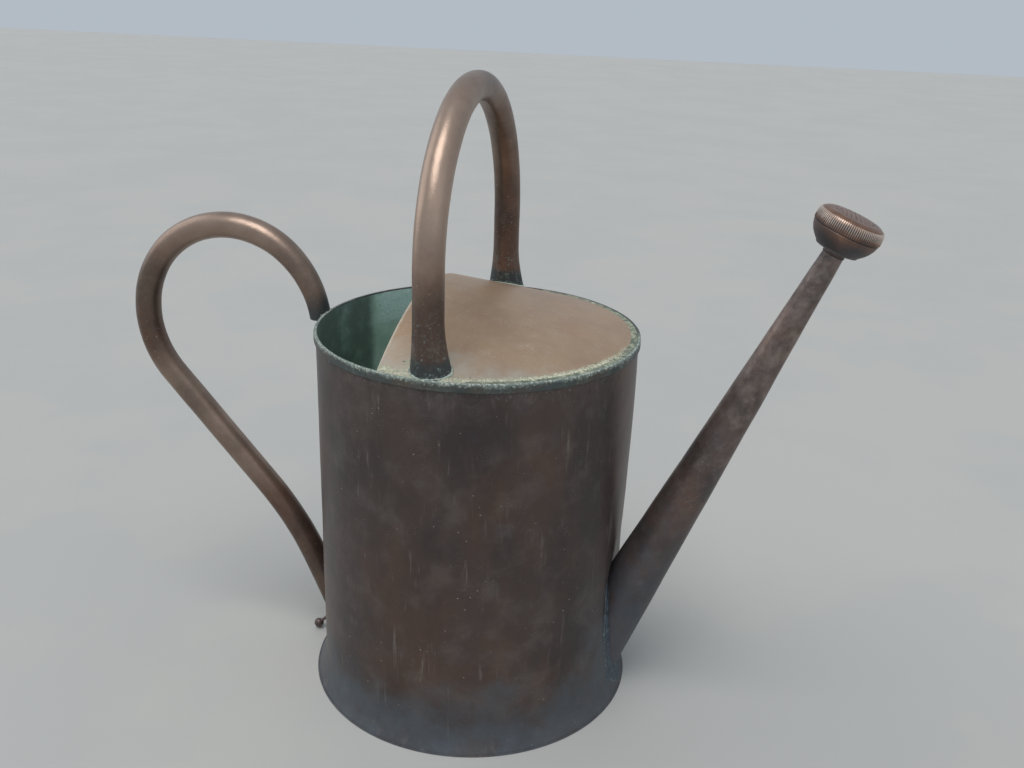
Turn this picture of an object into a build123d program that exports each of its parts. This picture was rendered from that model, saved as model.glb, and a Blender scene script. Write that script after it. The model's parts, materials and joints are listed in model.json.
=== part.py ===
from build123d import *
import os
from math import acos, atan2, cos, degrees, hypot, radians, sin, sqrt

# A copper watering can: a round tank with an arched half cover, a hoop over the top,
# a bent tube handle behind, and a long tapered spout with a rose that turns and pulls off.
# Millimetres. The origin is on the tank's axis on the floor, +Z up, +X towards the spout.

# Sheet and tank
sheet = 1.0
body_radius = 120.0
rim_height = 291.0
flare_height = 26.0
flare_bend = 50.0
pan_recess = 7.0
hem_height = 3.5
base_solder_leg = 4.0
seam_angle = 125.0
seam_width = 12.0
seam_step = 0.8

# Band folded over the top edge
band_height = 8.5
band_thickness = 1.6
band_round = 0.7

# Arched half cover
cover_edge_x = -38.0
cover_rise = 33.0
cover_flange = 6.0
cover_hem = 6.0
cover_solder_start_x = 24.0

# Hoop over the top
hoop_x = -5.4
hoop_turn = 0.85
hoop_inset = 12.0
hoop_leg_rise = 67.0
hoop_tube_radius = 10.5
tube_wall = 1.2
hoop_foot_half_length = 15.0
hoop_foot_height = 35.0

# Solder beads
bead = 2.4
hoop_bead = 1.2

# Bent handle behind
handle_tube_radius = 10.0
handle_end_gap = 2.4
handle_top_lap = 6.0
handle_plug_depth = 5.0
loop_drop = 16.0
loop_radius = 76.5
loop_start_angle = 2.0
handle_knee_gap = 33.7
handle_knee_height = 105.8
handle_bend_radius = 240.0
handle_foot_inset = 8.0
handle_foot_height = 11.3

# Rod and ball under the rear handle
tail_rod_radius = 1.4
tail_ball_radius = 4.0
tail_reach = 18.5
tail_ball_height = 4.8
tail_root_height = 24.0

# Tapered spout
spout_angle = 66.93
spout_length = 322.2
spout_root_height = 72.2
spout_tip_radius = 7.5
spout_root_radius = 22.2
spout_root_length = 330.0
spout_end_height = 4.0
spout_socket_depth = 16.0
spout_socket_radius = 6.3
inlet_radius = 15.0
inlet_drop = 8.0

# Rose: neck, bowl and screwed cap
rose_tilt = 2.0
running_clearance = 0.05
loose_clearance = 0.25
seal_thickness = 0.8
neck_flange_radius = 7.9
neck_flange_thickness = 1.2
neck_bore_radius = 4.8
neck_insertion = 14.0
neck_stub = 7.0
bowl_offset = 3.3
bowl_lip_radius = 14.8
bowl_lip_height = 1.0
bowl_radius = 23.0
bowl_height = 13.8
bowl_belly = 1.4
bowl_wall = 1.2
thread_radius = 21.2
thread_height = 7.0
cap_radius = 23.4
cap_gap = 0.4
cap_round = 6.0
cap_dome = 0.8
cap_face = 3.0
washer_thickness = 1.0
washer_inner_radius = 16.5
spray_hole_radius = 0.65
spray_ring_pitch = 3.4
spray_rings = 4
spray_holes_per_ring = 6

# Sizes that follow from the ones above
wall_inner = body_radius - sheet
wall_top = rim_height - sheet
band_bottom = rim_height - band_height
band_radius = body_radius + band_thickness
cover_base = wall_top
cover_apex_rise = cover_rise / (1 - (cover_edge_x + wall_inner) / (2 * wall_inner))
cover_loft_share = 0.8
hoop_half_width = body_radius - hoop_inset
hoop_leg_top = cover_base + hoop_leg_rise
foot_half_depth = hoop_tube_radius
hoop_foot_top = cover_base + hoop_foot_height
hoop_across = Vector(cos(radians(hoop_turn)), sin(radians(hoop_turn)), 0)
hoop_along = Vector(-sin(radians(hoop_turn)), cos(radians(hoop_turn)), 0)
hoop_stand = Plane((hoop_x, 0, 0), x_dir=hoop_across, z_dir=(0, 0, 1))
hoop_upright = Plane((hoop_x, 0, 0), x_dir=hoop_along, z_dir=hoop_across)
loop_centre_x = -(band_radius + handle_end_gap + loop_radius)
loop_centre_z = rim_height - loop_drop
handle_top_cut = rim_height - handle_top_lap
handle_knee_x = -(body_radius + handle_knee_gap)
handle_foot_x = -(body_radius - handle_foot_inset)
spout_taper = (spout_root_radius - spout_tip_radius) / spout_root_length
spout_rise = sin(radians(spout_angle))
spout_run = cos(radians(spout_angle))
spout_tip_x = body_radius + spout_length * spout_run
spout_tip_z = spout_root_height + spout_length * spout_rise
inlet_height = spout_root_height - inlet_drop
spout_drop = spout_tip_z - spout_end_height - spout_tip_radius * spout_run
spout_reach = spout_drop / (spout_rise + spout_taper * spout_run)
overlap = 5.0
trim_box = 6 * handle_tube_radius

os.makedirs("parts", exist_ok=True)


def flare_radius(bend, height):
    """Radius of the flared foot at a height, on the arc of the given bend."""
    return body_radius + flare_bend - sqrt(bend**2 - (flare_height - height) ** 2)


def flare_point(bend, height):
    """Point of the flared foot in the profile plane."""
    return (flare_radius(bend, height), height)


def flare_arc(bend, low, high):
    """Draw the stretch of the foot's arc between two heights."""
    middle = (low + high) / 2
    ThreePointArc(flare_point(bend, low), flare_point(bend, middle), flare_point(bend, high))


def draw_can_outline(gap):
    """Draw half the filled outside of the tank, a gap further out than its sheet."""
    bend = flare_bend - gap
    foot = flare_point(bend, 0)
    waist = flare_point(bend, flare_height)
    rim_edge = band_radius + gap
    flare_arc(bend, 0, flare_height)
    Polyline(
        waist,
        (waist[0], band_bottom),
        (rim_edge, band_bottom),
        (rim_edge, rim_height),
        (0, rim_height),
        (0, 0),
        foot,
    )


def cover_circle(share):
    """Centre and radius of the cover's cone, a share of the way up to its apex."""
    return (-wall_inner * share, 0), wall_inner * (1 - share)


# Filled shapes used only to cut the pieces to each other
with BuildPart() as can_shape:
    with BuildSketch(Plane.XZ):
        with BuildLine():
            draw_can_outline(0)
        make_face()
    revolve(axis=Axis.Z)

with BuildPart() as can_bead_shape:
    with BuildSketch(Plane.XZ):
        with BuildLine():
            draw_can_outline(bead)
        make_face()
    revolve(axis=Axis.Z)


def cover_cone(drop):
    """Filled oblique cone under the cover's outer face, lowered by a drop."""
    with BuildPart() as cone:
        for share in (0, cover_loft_share):
            centre, radius = cover_circle(share)
            with BuildSketch(Plane.XY.offset(cover_base + cover_apex_rise * share - drop)):
                with Locations(centre):
                    Circle(radius)
        loft(ruled=True)
    return cone.part


# Tank wall: rolled sheet with a lap seam, flared foot and the outlet to the spout
with BuildPart() as body_wall:
    with BuildSketch(Plane.XZ):
        with BuildLine():
            flare_arc(flare_bend, sheet, flare_height)
            Polyline(
                (body_radius, flare_height),
                (body_radius, wall_top),
                (wall_inner, wall_top),
                flare_point(flare_bend + sheet, flare_height),
            )
            flare_arc(flare_bend + sheet, sheet, flare_height)
            Line(flare_point(flare_bend, sheet), flare_point(flare_bend + sheet, sheet))
        make_face()
    revolve(axis=Axis.Z)
    seam_turn = degrees(seam_width / body_radius)
    seam_direction = Vector(cos(radians(seam_angle)), sin(radians(seam_angle)), 0)
    seam_normal = Vector(sin(radians(seam_angle)), -cos(radians(seam_angle)), 0)
    with BuildSketch(Plane((0, 0, 0), x_dir=seam_direction, z_dir=seam_normal)):
        with Locations((body_radius, (flare_height + band_bottom) / 2)):
            Rectangle(2 * seam_step, band_bottom - flare_height - 2 * sheet)
    revolve(axis=Axis.Z, revolution_arc=seam_turn)
    with BuildSketch(Plane.YZ):
        with Locations((0, inlet_height)):
            Circle(inlet_radius)
    extrude(amount=2 * body_radius, mode=Mode.SUBTRACT)
body_wall.part.label = "body_wall"
export_step(body_wall.part, "parts/body_wall.step")

# Bottom: recessed disc whose edge follows the flare and is clinched round it
with BuildPart() as base_pan:
    pan_top = pan_recess + sheet
    with BuildSketch(Plane.XZ):
        with BuildLine():
            flare_arc(flare_bend + 2 * sheet, 0, pan_recess)
            Line(flare_point(flare_bend + 2 * sheet, 0), flare_point(flare_bend - sheet, 0))
            flare_arc(flare_bend - sheet, 0, hem_height)
            Line(flare_point(flare_bend - sheet, hem_height), flare_point(flare_bend, hem_height))
            flare_arc(flare_bend, sheet, hem_height)
            Line(flare_point(flare_bend, sheet), flare_point(flare_bend + sheet, sheet))
            flare_arc(flare_bend + sheet, sheet, pan_top)
            Polyline(
                flare_point(flare_bend + sheet, pan_top),
                (0, pan_top),
                (0, pan_recess),
                flare_point(flare_bend + 2 * sheet, pan_recess),
            )
        make_face()
    revolve(axis=Axis.Z)
base_pan.part.label = "base_pan"
export_step(base_pan.part, "parts/base_pan.step")

# Solder run in the corner between the bottom and the wall
with BuildPart() as base_solder:
    with BuildSketch(Plane.XZ):
        with BuildLine():
            flare_arc(flare_bend + sheet, pan_top, pan_top + base_solder_leg)
            corner = flare_point(flare_bend + sheet, pan_top)
            toe = (corner[0] - base_solder_leg, pan_top)
            Polyline(corner, toe, flare_point(flare_bend + sheet, pan_top + base_solder_leg))
        make_face()
    revolve(axis=Axis.Z)
base_solder.part.label = "base_solder"
export_step(base_solder.part, "parts/base_solder.step")

# Band folded over the top edge of the wall
with BuildPart() as rim_band:
    with BuildSketch(Plane.XZ):
        with BuildLine():
            Polyline(
                (body_radius, band_bottom),
                (band_radius, band_bottom),
                (band_radius, rim_height),
                (wall_inner, rim_height),
                (wall_inner, wall_top),
                (body_radius, wall_top),
                close=True,
            )
        rim_face = make_face()
        top_corners = rim_face.vertices().group_by(Axis.Z)[-1]
        fillet(top_corners.sort_by(Axis.X)[-1], radius=band_round)
    revolve(axis=Axis.Z)
rim_band.part.label = "rim_band"
export_step(rim_band.part, "parts/rim_band.step")

# Half cover: part of a cone over the rim, rising to a hemmed free edge, with a flange in the tank
cover_shape = cover_cone(0)
with BuildPart() as cover_hollow:
    add(cover_cone(sheet))
    split(bisect_by=Plane.YZ.offset(cover_edge_x + cover_hem), keep=Keep.TOP)

with BuildPart() as top_cover:
    add(cover_shape)
    add(cover_hollow.part, mode=Mode.SUBTRACT)
    add(cover_cone(2 * sheet), mode=Mode.SUBTRACT)
    with BuildSketch(Plane.XY.offset(cover_base - cover_flange)):
        Circle(wall_inner)
        Circle(wall_inner - sheet, mode=Mode.SUBTRACT)
    extrude(amount=cover_flange)
    split(bisect_by=Plane.YZ.offset(cover_edge_x), keep=Keep.TOP)
top_cover.part.label = "top_cover"
export_step(top_cover.part, "parts/top_cover.step")

# Solder crust in the corner between the cover and the band, on the spout side
with BuildPart() as cover_solder:
    with BuildSketch(Plane.XY.offset(cover_base)):
        Circle(wall_inner)
    extrude(amount=sheet)
    add(cover_shape, mode=Mode.SUBTRACT)
    split(bisect_by=Plane.YZ.offset(cover_solder_start_x), keep=Keep.TOP)
cover_solder.part.label = "cover_solder"
export_step(cover_solder.part, "parts/cover_solder.step")


def hoop_solid(shrink):
    """Filled hoop with its splayed feet, shrunk to make the tube's bore."""
    radius = hoop_tube_radius - shrink
    foot_plane = hoop_stand.offset(hoop_foot_top)
    with BuildPart() as hoop:
        with BuildLine(hoop_upright) as path:
            Line((-hoop_half_width, hoop_foot_top), (-hoop_half_width, hoop_leg_top))
            ThreePointArc(
                (-hoop_half_width, hoop_leg_top),
                (0, hoop_leg_top + hoop_half_width),
                (hoop_half_width, hoop_leg_top),
            )
            Line((hoop_half_width, hoop_leg_top), (hoop_half_width, hoop_foot_top))
        with BuildSketch(foot_plane):
            with Locations((0, -hoop_half_width)):
                Circle(radius)
        sweep(path=path.line)
        for side in (-1, 1):
            with BuildSketch(foot_plane) as leg_end:
                with Locations((0, side * hoop_half_width)):
                    Circle(radius)
            with BuildSketch(hoop_stand.offset(cover_base - overlap)) as foot_end:
                with Locations((0, side * hoop_half_width)):
                    Ellipse(hoop_foot_half_length - shrink, foot_half_depth - shrink)
            loft(sections=[leg_end.sketch.face(), foot_end.sketch.face()])
    return hoop.part


# Hoop: one bent tube, its feet splayed and cut to stand on the cover
hoop_outside = hoop_solid(0)
with BuildPart() as hoop_handle:
    add(hoop_outside)
    add(hoop_solid(tube_wall), mode=Mode.SUBTRACT)
    add(cover_shape, mode=Mode.SUBTRACT)
    split(bisect_by=Plane.XY.offset(cover_base), keep=Keep.TOP)
hoop_handle.part.label = "hoop_handle"
export_step(hoop_handle.part, "parts/hoop_handle.step")

# Solder beads round the hoop's feet, on the cover
with BuildPart() as cover_bead_shape:
    add(cover_cone(-hoop_bead))
    with BuildSketch(Plane.XY.offset(cover_base)):
        Circle(wall_inner)
    extrude(amount=hoop_bead)

for side, foot_name in ((-1, "front"), (1, "back")):
    with BuildPart() as hoop_solder:
        with BuildSketch(hoop_stand.offset(cover_base)):
            with Locations((0, side * hoop_half_width)):
                Ellipse(hoop_foot_half_length + hoop_bead, foot_half_depth + hoop_bead)
        extrude(amount=hoop_foot_height)
        add(cover_bead_shape.part, mode=Mode.INTERSECT)
        add(cover_shape, mode=Mode.SUBTRACT)
        add(hoop_outside, mode=Mode.SUBTRACT)
    hoop_solder.part.label = "hoop_solder_" + foot_name
    export_step(hoop_solder.part, "parts/hoop_solder_" + foot_name + ".step")

# Rear handle: the line of the tube, from the rim over the loop to the knee and down to the foot
knee_x = handle_knee_x - loop_centre_x
knee_z = handle_knee_height - loop_centre_z
knee_angle = degrees(atan2(knee_z, knee_x)) + 360
loop_end_angle = knee_angle - degrees(acos(loop_radius / hypot(knee_x, knee_z)))
with BuildLine(Plane.XZ) as handle_path:
    loop = CenterArc(
        (loop_centre_x, loop_centre_z),
        loop_radius,
        loop_start_angle,
        loop_end_angle - loop_start_angle,
    )
    FilletPolyline(
        loop @ 1,
        (handle_knee_x, handle_knee_height),
        (handle_foot_x, handle_foot_height),
        radius=handle_bend_radius,
    )


def handle_solid(radius):
    """Filled tube of a radius along the rear handle's line."""
    with BuildPart() as tube:
        with BuildSketch(Plane(loop @ 0, z_dir=loop % 0)):
            Circle(radius)
        sweep(path=handle_path.line)
    return tube.part


handle_outside = handle_solid(handle_tube_radius)
handle_bore = handle_solid(handle_tube_radius - tube_wall)
loop_end_x = loop_centre_x + loop_radius

with BuildPart() as rear_handle:
    add(handle_outside)
    add(handle_bore, mode=Mode.SUBTRACT)
    add(can_shape.part, mode=Mode.SUBTRACT)
    with Locations((loop_end_x, 0, handle_top_cut)):
        Box(
            trim_box,
            trim_box,
            trim_box,
            align=(Align.CENTER, Align.CENTER, Align.MAX),
            mode=Mode.SUBTRACT,
        )
rear_handle.part.label = "rear_handle"
export_step(rear_handle.part, "parts/rear_handle.step")

# Solder that closes the upper end of the rear handle against the band
with BuildPart() as handle_solder_top:
    with Locations((loop_end_x, 0, handle_top_cut)):
        Box(
            trim_box,
            trim_box,
            handle_plug_depth,
            align=(Align.CENTER, Align.CENTER, Align.MIN),
        )
    add(handle_bore, mode=Mode.INTERSECT)
    add(can_shape.part, mode=Mode.SUBTRACT)
handle_solder_top.part.label = "handle_solder_top"
export_step(handle_solder_top.part, "parts/handle_solder_top.step")

# Solder bead round the lower end of the rear handle
with BuildPart() as handle_solder_foot:
    add(handle_solid(handle_tube_radius + bead))
    add(can_bead_shape.part, mode=Mode.INTERSECT)
    add(handle_outside, mode=Mode.SUBTRACT)
    add(can_shape.part, mode=Mode.SUBTRACT)
    add(base_pan.part, mode=Mode.SUBTRACT)
    split(bisect_by=Plane.XY.offset(loop_centre_z - loop_radius), keep=Keep.BOTTOM)
handle_solder_foot.part.label = "handle_solder_foot"
export_step(handle_solder_foot.part, "parts/handle_solder_foot.step")

# Rod and ball that end the rear handle just above the floor
with BuildPart() as handle_tail:
    tail_root = Vector(sheet - flare_radius(flare_bend, tail_root_height), 0, tail_root_height)
    tail_ball = Vector(-(body_radius + tail_reach), 0, tail_ball_height)
    tail_line = tail_ball - tail_root
    with BuildSketch(Plane(tail_root, z_dir=tail_line)):
        Circle(tail_rod_radius)
    extrude(amount=tail_line.length)
    with Locations(tail_ball):
        Sphere(tail_ball_radius)
    add(can_shape.part, mode=Mode.SUBTRACT)
    add(handle_outside, mode=Mode.SUBTRACT)
    add(handle_solder_foot.part, mode=Mode.SUBTRACT)
handle_tail.part.label = "handle_tail"
export_step(handle_tail.part, "parts/handle_tail.step")

# Spout: its own plane has its origin at the tip and looks out along the spout
spout_direction = Vector(spout_run, 0, spout_rise)
spout_tip = Vector(spout_tip_x, 0, spout_tip_z)
spout_plane = Plane(spout_tip, x_dir=(0, 1, 0), z_dir=spout_direction)


def spout_radius(depth):
    """Outside radius of the spout at a depth below its tip."""
    return spout_tip_radius + spout_taper * depth


def spout_cone(grow):
    """Filled cone of the spout, grown outwards."""
    with BuildPart() as cone:
        with BuildSketch(spout_plane):
            Circle(spout_radius(0) + grow)
        with BuildSketch(spout_plane.offset(-spout_reach)):
            Circle(spout_radius(spout_reach) + grow)
        loft(ruled=True)
    return cone.part


spout_outside = spout_cone(0)
with BuildPart() as spout:
    add(spout_outside)
    with BuildSketch(spout_plane.offset(-spout_socket_depth)):
        Circle(spout_radius(spout_socket_depth) - sheet)
    with BuildSketch(spout_plane.offset(-spout_reach)):
        Circle(spout_radius(spout_reach) - sheet)
    loft(ruled=True, mode=Mode.SUBTRACT)
    with BuildSketch(spout_plane):
        Circle(spout_socket_radius)
    extrude(amount=-spout_socket_depth, mode=Mode.SUBTRACT)
    add(can_shape.part, mode=Mode.SUBTRACT)
spout.part.label = "spout"
export_step(spout.part, "parts/spout.step")

# Solder fillet round the root of the spout
with BuildPart() as spout_solder:
    add(spout_cone(bead))
    add(can_bead_shape.part, mode=Mode.INTERSECT)
    add(spout_outside, mode=Mode.SUBTRACT)
    add(can_shape.part, mode=Mode.SUBTRACT)
    add(base_pan.part, mode=Mode.SUBTRACT)
spout_solder.part.label = "spout_solder"
export_step(spout_solder.part, "parts/spout_solder.step")

# Washer between the spout's tip and the rose
neck_radius = spout_socket_radius - running_clearance
with BuildPart() as rose_seal:
    with BuildSketch(spout_plane):
        Circle(neck_flange_radius)
        Circle(neck_radius + loose_clearance, mode=Mode.SUBTRACT)
    extrude(amount=seal_thickness)
rose_seal.part.label = "rose_seal"
export_step(rose_seal.part, "parts/rose_seal.step")

# Neck of the rose: a tube that plugs into the spout's tip, with a flange above the washer
flange_base = seal_thickness + running_clearance
flange_top = flange_base + neck_flange_thickness
neck_top = flange_top + neck_stub
with BuildPart() as rose_neck:
    with BuildSketch(spout_plane.offset(-neck_insertion)):
        Circle(neck_radius)
    extrude(amount=neck_insertion + neck_top)
    with BuildSketch(spout_plane.offset(flange_base)):
        Circle(neck_flange_radius)
    extrude(amount=neck_flange_thickness)
    with BuildSketch(spout_plane.offset(-neck_insertion)):
        Circle(neck_bore_radius)
    extrude(amount=neck_insertion + neck_top, mode=Mode.SUBTRACT)
rose_neck.part.label = "rose_neck"
export_step(rose_neck.part, "parts/rose_neck.step")

# Plane of the bowl's lip, tipped up a little from the spout's line
rose_angle = spout_angle + rose_tilt
rose_direction = Vector(cos(radians(rose_angle)), 0, sin(radians(rose_angle)))
rose_centre = spout_tip + spout_direction * bowl_offset
rose_plane = Plane(rose_centre, x_dir=(0, 1, 0), z_dir=rose_direction)
rose_profile = Plane(rose_centre, x_dir=(0, 1, 0), z_dir=rose_direction.cross(Vector(0, -1, 0)))
rose_axis = Axis(rose_centre, rose_direction)
thread_top = bowl_height + thread_height


def draw_bowl_half(inset):
    """Draw half the bowl's outline from its floor to its shoulder, inset by its wall."""
    lip = (bowl_lip_radius - inset, bowl_lip_height + inset)
    shoulder = (bowl_radius - inset, bowl_height - inset)
    belly = ((lip[0] + shoulder[0]) / 2 + bowl_belly, (lip[1] + shoulder[1]) / 2 - bowl_belly)
    Polyline((0, shoulder[1]), (0, inset), (lip[0], inset), lip)
    ThreePointArc(lip, belly, shoulder)
    Line(shoulder, (0, shoulder[1]))


# Bowl of the rose, with a plain collar in place of its thread and a skirt down to the neck
with BuildPart() as rose_bowl:
    with BuildSketch(rose_profile):
        with BuildLine():
            draw_bowl_half(0)
        make_face()
    revolve(axis=rose_axis)
    with BuildSketch(rose_plane.offset(bowl_height)):
        Circle(thread_radius)
    extrude(amount=thread_height)
    with BuildSketch(spout_plane.offset(flange_top)):
        Circle(neck_flange_radius)
    with BuildSketch(spout_plane.offset(neck_top)):
        Circle(neck_flange_radius + bowl_wall)
    loft(ruled=True)
    with BuildSketch(rose_profile):
        with BuildLine():
            draw_bowl_half(bowl_wall)
        make_face()
    revolve(axis=rose_axis, mode=Mode.SUBTRACT)
    with BuildSketch(rose_plane.offset(bowl_height - bowl_wall)):
        Circle(thread_radius - bowl_wall)
    extrude(amount=thread_height + bowl_wall, mode=Mode.SUBTRACT)
    with BuildSketch(spout_plane):
        Circle(neck_radius)
    extrude(amount=neck_top + overlap, mode=Mode.SUBTRACT)
rose_bowl.part.label = "rose_bowl"
export_step(rose_bowl.part, "parts/rose_bowl.step")

# Flat washer between the bowl and the cap
washer_base = thread_top + loose_clearance
with BuildPart() as rose_cap_washer:
    with BuildSketch(rose_plane.offset(washer_base)):
        Circle(thread_radius - loose_clearance)
        Circle(washer_inner_radius, mode=Mode.SUBTRACT)
    extrude(amount=washer_thickness)
rose_cap_washer.part.label = "rose_cap_washer"
export_step(rose_cap_washer.part, "parts/rose_cap_washer.step")

# Cap: knurled band, rounded edge and a gently domed face with spray holes
cap_base = bowl_height + cap_gap
cap_floor = washer_base + washer_thickness + loose_clearance
cap_top = cap_floor + cap_face
cap_edge = cap_top - cap_round
with BuildPart() as rose_cap:
    with BuildSketch(rose_profile):
        with BuildLine():
            crown = (0, cap_top + cap_dome)
            face_edge = (cap_radius - cap_round, cap_top)
            Polyline(crown, (0, cap_base), (cap_radius, cap_base), (cap_radius, cap_edge))
            TangentArc((cap_radius, cap_edge), face_edge, tangent=(0, 1))
            TangentArc(crown, face_edge, tangent=(1, 0))
        make_face()
    revolve(axis=rose_axis)
    with BuildSketch(rose_plane.offset(cap_base)):
        Circle(thread_radius + loose_clearance)
    extrude(amount=cap_floor - cap_base, mode=Mode.SUBTRACT)
    with BuildSketch(rose_plane.offset(cap_floor)):
        Circle(spray_hole_radius)
        for ring in range(1, spray_rings + 1):
            with PolarLocations(ring * spray_ring_pitch, ring * spray_holes_per_ring):
                Circle(spray_hole_radius)
    extrude(amount=cap_face + cap_dome + overlap, mode=Mode.SUBTRACT)
rose_cap.part.label = "rose_cap"
export_step(rose_cap.part, "parts/rose_cap.step")
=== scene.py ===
"""Aged copper watering can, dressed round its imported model.

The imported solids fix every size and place. The pieces made here take the place of the plain
ones with hand-beaten sheet, drawn tube, run solder and a knurled rose, and each surface gets
the finish of old copper that has stood outdoors. Lengths are in metres.
"""

import json
import logging
import math
from collections.abc import Callable, Iterable, Sequence
from dataclasses import dataclass, fields
from enum import Enum
from typing import Any

import bmesh
import bpy
from mathutils import Euler, Matrix, Vector, kdtree, noise

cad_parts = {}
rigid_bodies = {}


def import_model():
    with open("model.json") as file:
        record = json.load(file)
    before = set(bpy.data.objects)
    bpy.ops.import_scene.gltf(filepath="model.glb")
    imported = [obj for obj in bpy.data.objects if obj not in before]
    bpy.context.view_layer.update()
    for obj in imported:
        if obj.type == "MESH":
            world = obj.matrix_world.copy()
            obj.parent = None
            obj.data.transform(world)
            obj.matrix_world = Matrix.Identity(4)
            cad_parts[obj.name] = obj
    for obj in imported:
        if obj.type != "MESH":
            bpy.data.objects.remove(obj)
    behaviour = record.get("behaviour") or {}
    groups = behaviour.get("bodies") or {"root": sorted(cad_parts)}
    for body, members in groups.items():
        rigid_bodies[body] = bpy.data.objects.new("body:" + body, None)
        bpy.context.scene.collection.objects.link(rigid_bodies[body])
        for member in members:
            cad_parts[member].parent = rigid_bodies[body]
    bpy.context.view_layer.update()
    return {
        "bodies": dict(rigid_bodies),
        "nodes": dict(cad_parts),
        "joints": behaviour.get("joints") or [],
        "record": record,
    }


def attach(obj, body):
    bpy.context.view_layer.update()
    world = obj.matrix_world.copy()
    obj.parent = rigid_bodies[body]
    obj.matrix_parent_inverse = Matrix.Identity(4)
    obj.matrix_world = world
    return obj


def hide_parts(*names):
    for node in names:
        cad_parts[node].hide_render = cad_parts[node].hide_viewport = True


MM = 0.001
CREASE = 38.0
SEAM = 0.004 * MM
SLIVER = 0.001 * MM
LOG = logging.getLogger("watering_can")

Socket = bpy.types.NodeSocket
Colour = tuple[float, float, float, float]
Axes = tuple[float, float, float]
Frame = dict[str, Any]
Ring = list[Vector]
Profile = list[tuple[float, float]]
Rule = Callable[[Vector], float]
Swell = Callable[[float, float, int], float]


class Mark(Enum):
    """Mesh attributes that say where a finish has aged, from 0 to 1; in places the bloom mark also carries
    painted shade, and the rub mark painted highlight and sheen.
    """

    CRUST = "crust"
    BLOOM = "bloom"
    RUB = "rub"


def linear_colour(code: str) -> Colour:
    """Turn an sRGB hex colour into linear light.

    Args:
        code: Colour such as "#453a36".

    Returns:
        Linear red, green, blue and an alpha of 1.
    """
    shares = [int(code[i : i + 2], 16) / 255 for i in (1, 3, 5)]
    linear = [c / 12.92 if c <= 0.04045 else ((c + 0.055) / 1.055) ** 2.4 for c in shares]
    return (linear[0], linear[1], linear[2], 1.0)


def texture_scale(size_mm: float) -> float:
    """Texture scale whose features have a real size in millimetres."""
    return 1.0 / (size_mm * MM)


def smooth_step(low: float, high: float, value: float) -> float:
    """Ease from 0 at low to 1 at high; low may be the larger."""
    share = min(max((value - low) / (high - low), 0.0), 1.0)
    return share * share * (3 - 2 * share)


def polar(radius: float, angle: float, height: float) -> Vector:
    """Point at a radius and an angle about the Z axis, and at a height."""
    return Vector((radius * math.cos(angle), radius * math.sin(angle), height))


def add_node(
    tree: bpy.types.NodeTree, kind: str, inputs: dict[Any, Any] | None = None, **settings: Any
) -> bpy.types.Node:
    """Add a node, with its settings, values and links.

    Args:
        tree: Tree that takes the node.
        kind: Blender's type name of the node.
        inputs: Values or output sockets, by the input's name or index.
        **settings: Properties of the node itself.

    Returns:
        The new node.
    """
    node = tree.nodes.new(kind)
    for name, value in settings.items():
        setattr(node, name, value)
    for key, value in (inputs or {}).items():
        if isinstance(value, Socket):
            tree.links.new(value, node.inputs[key])
        else:
            node.inputs[key].default_value = value
    return node


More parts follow.
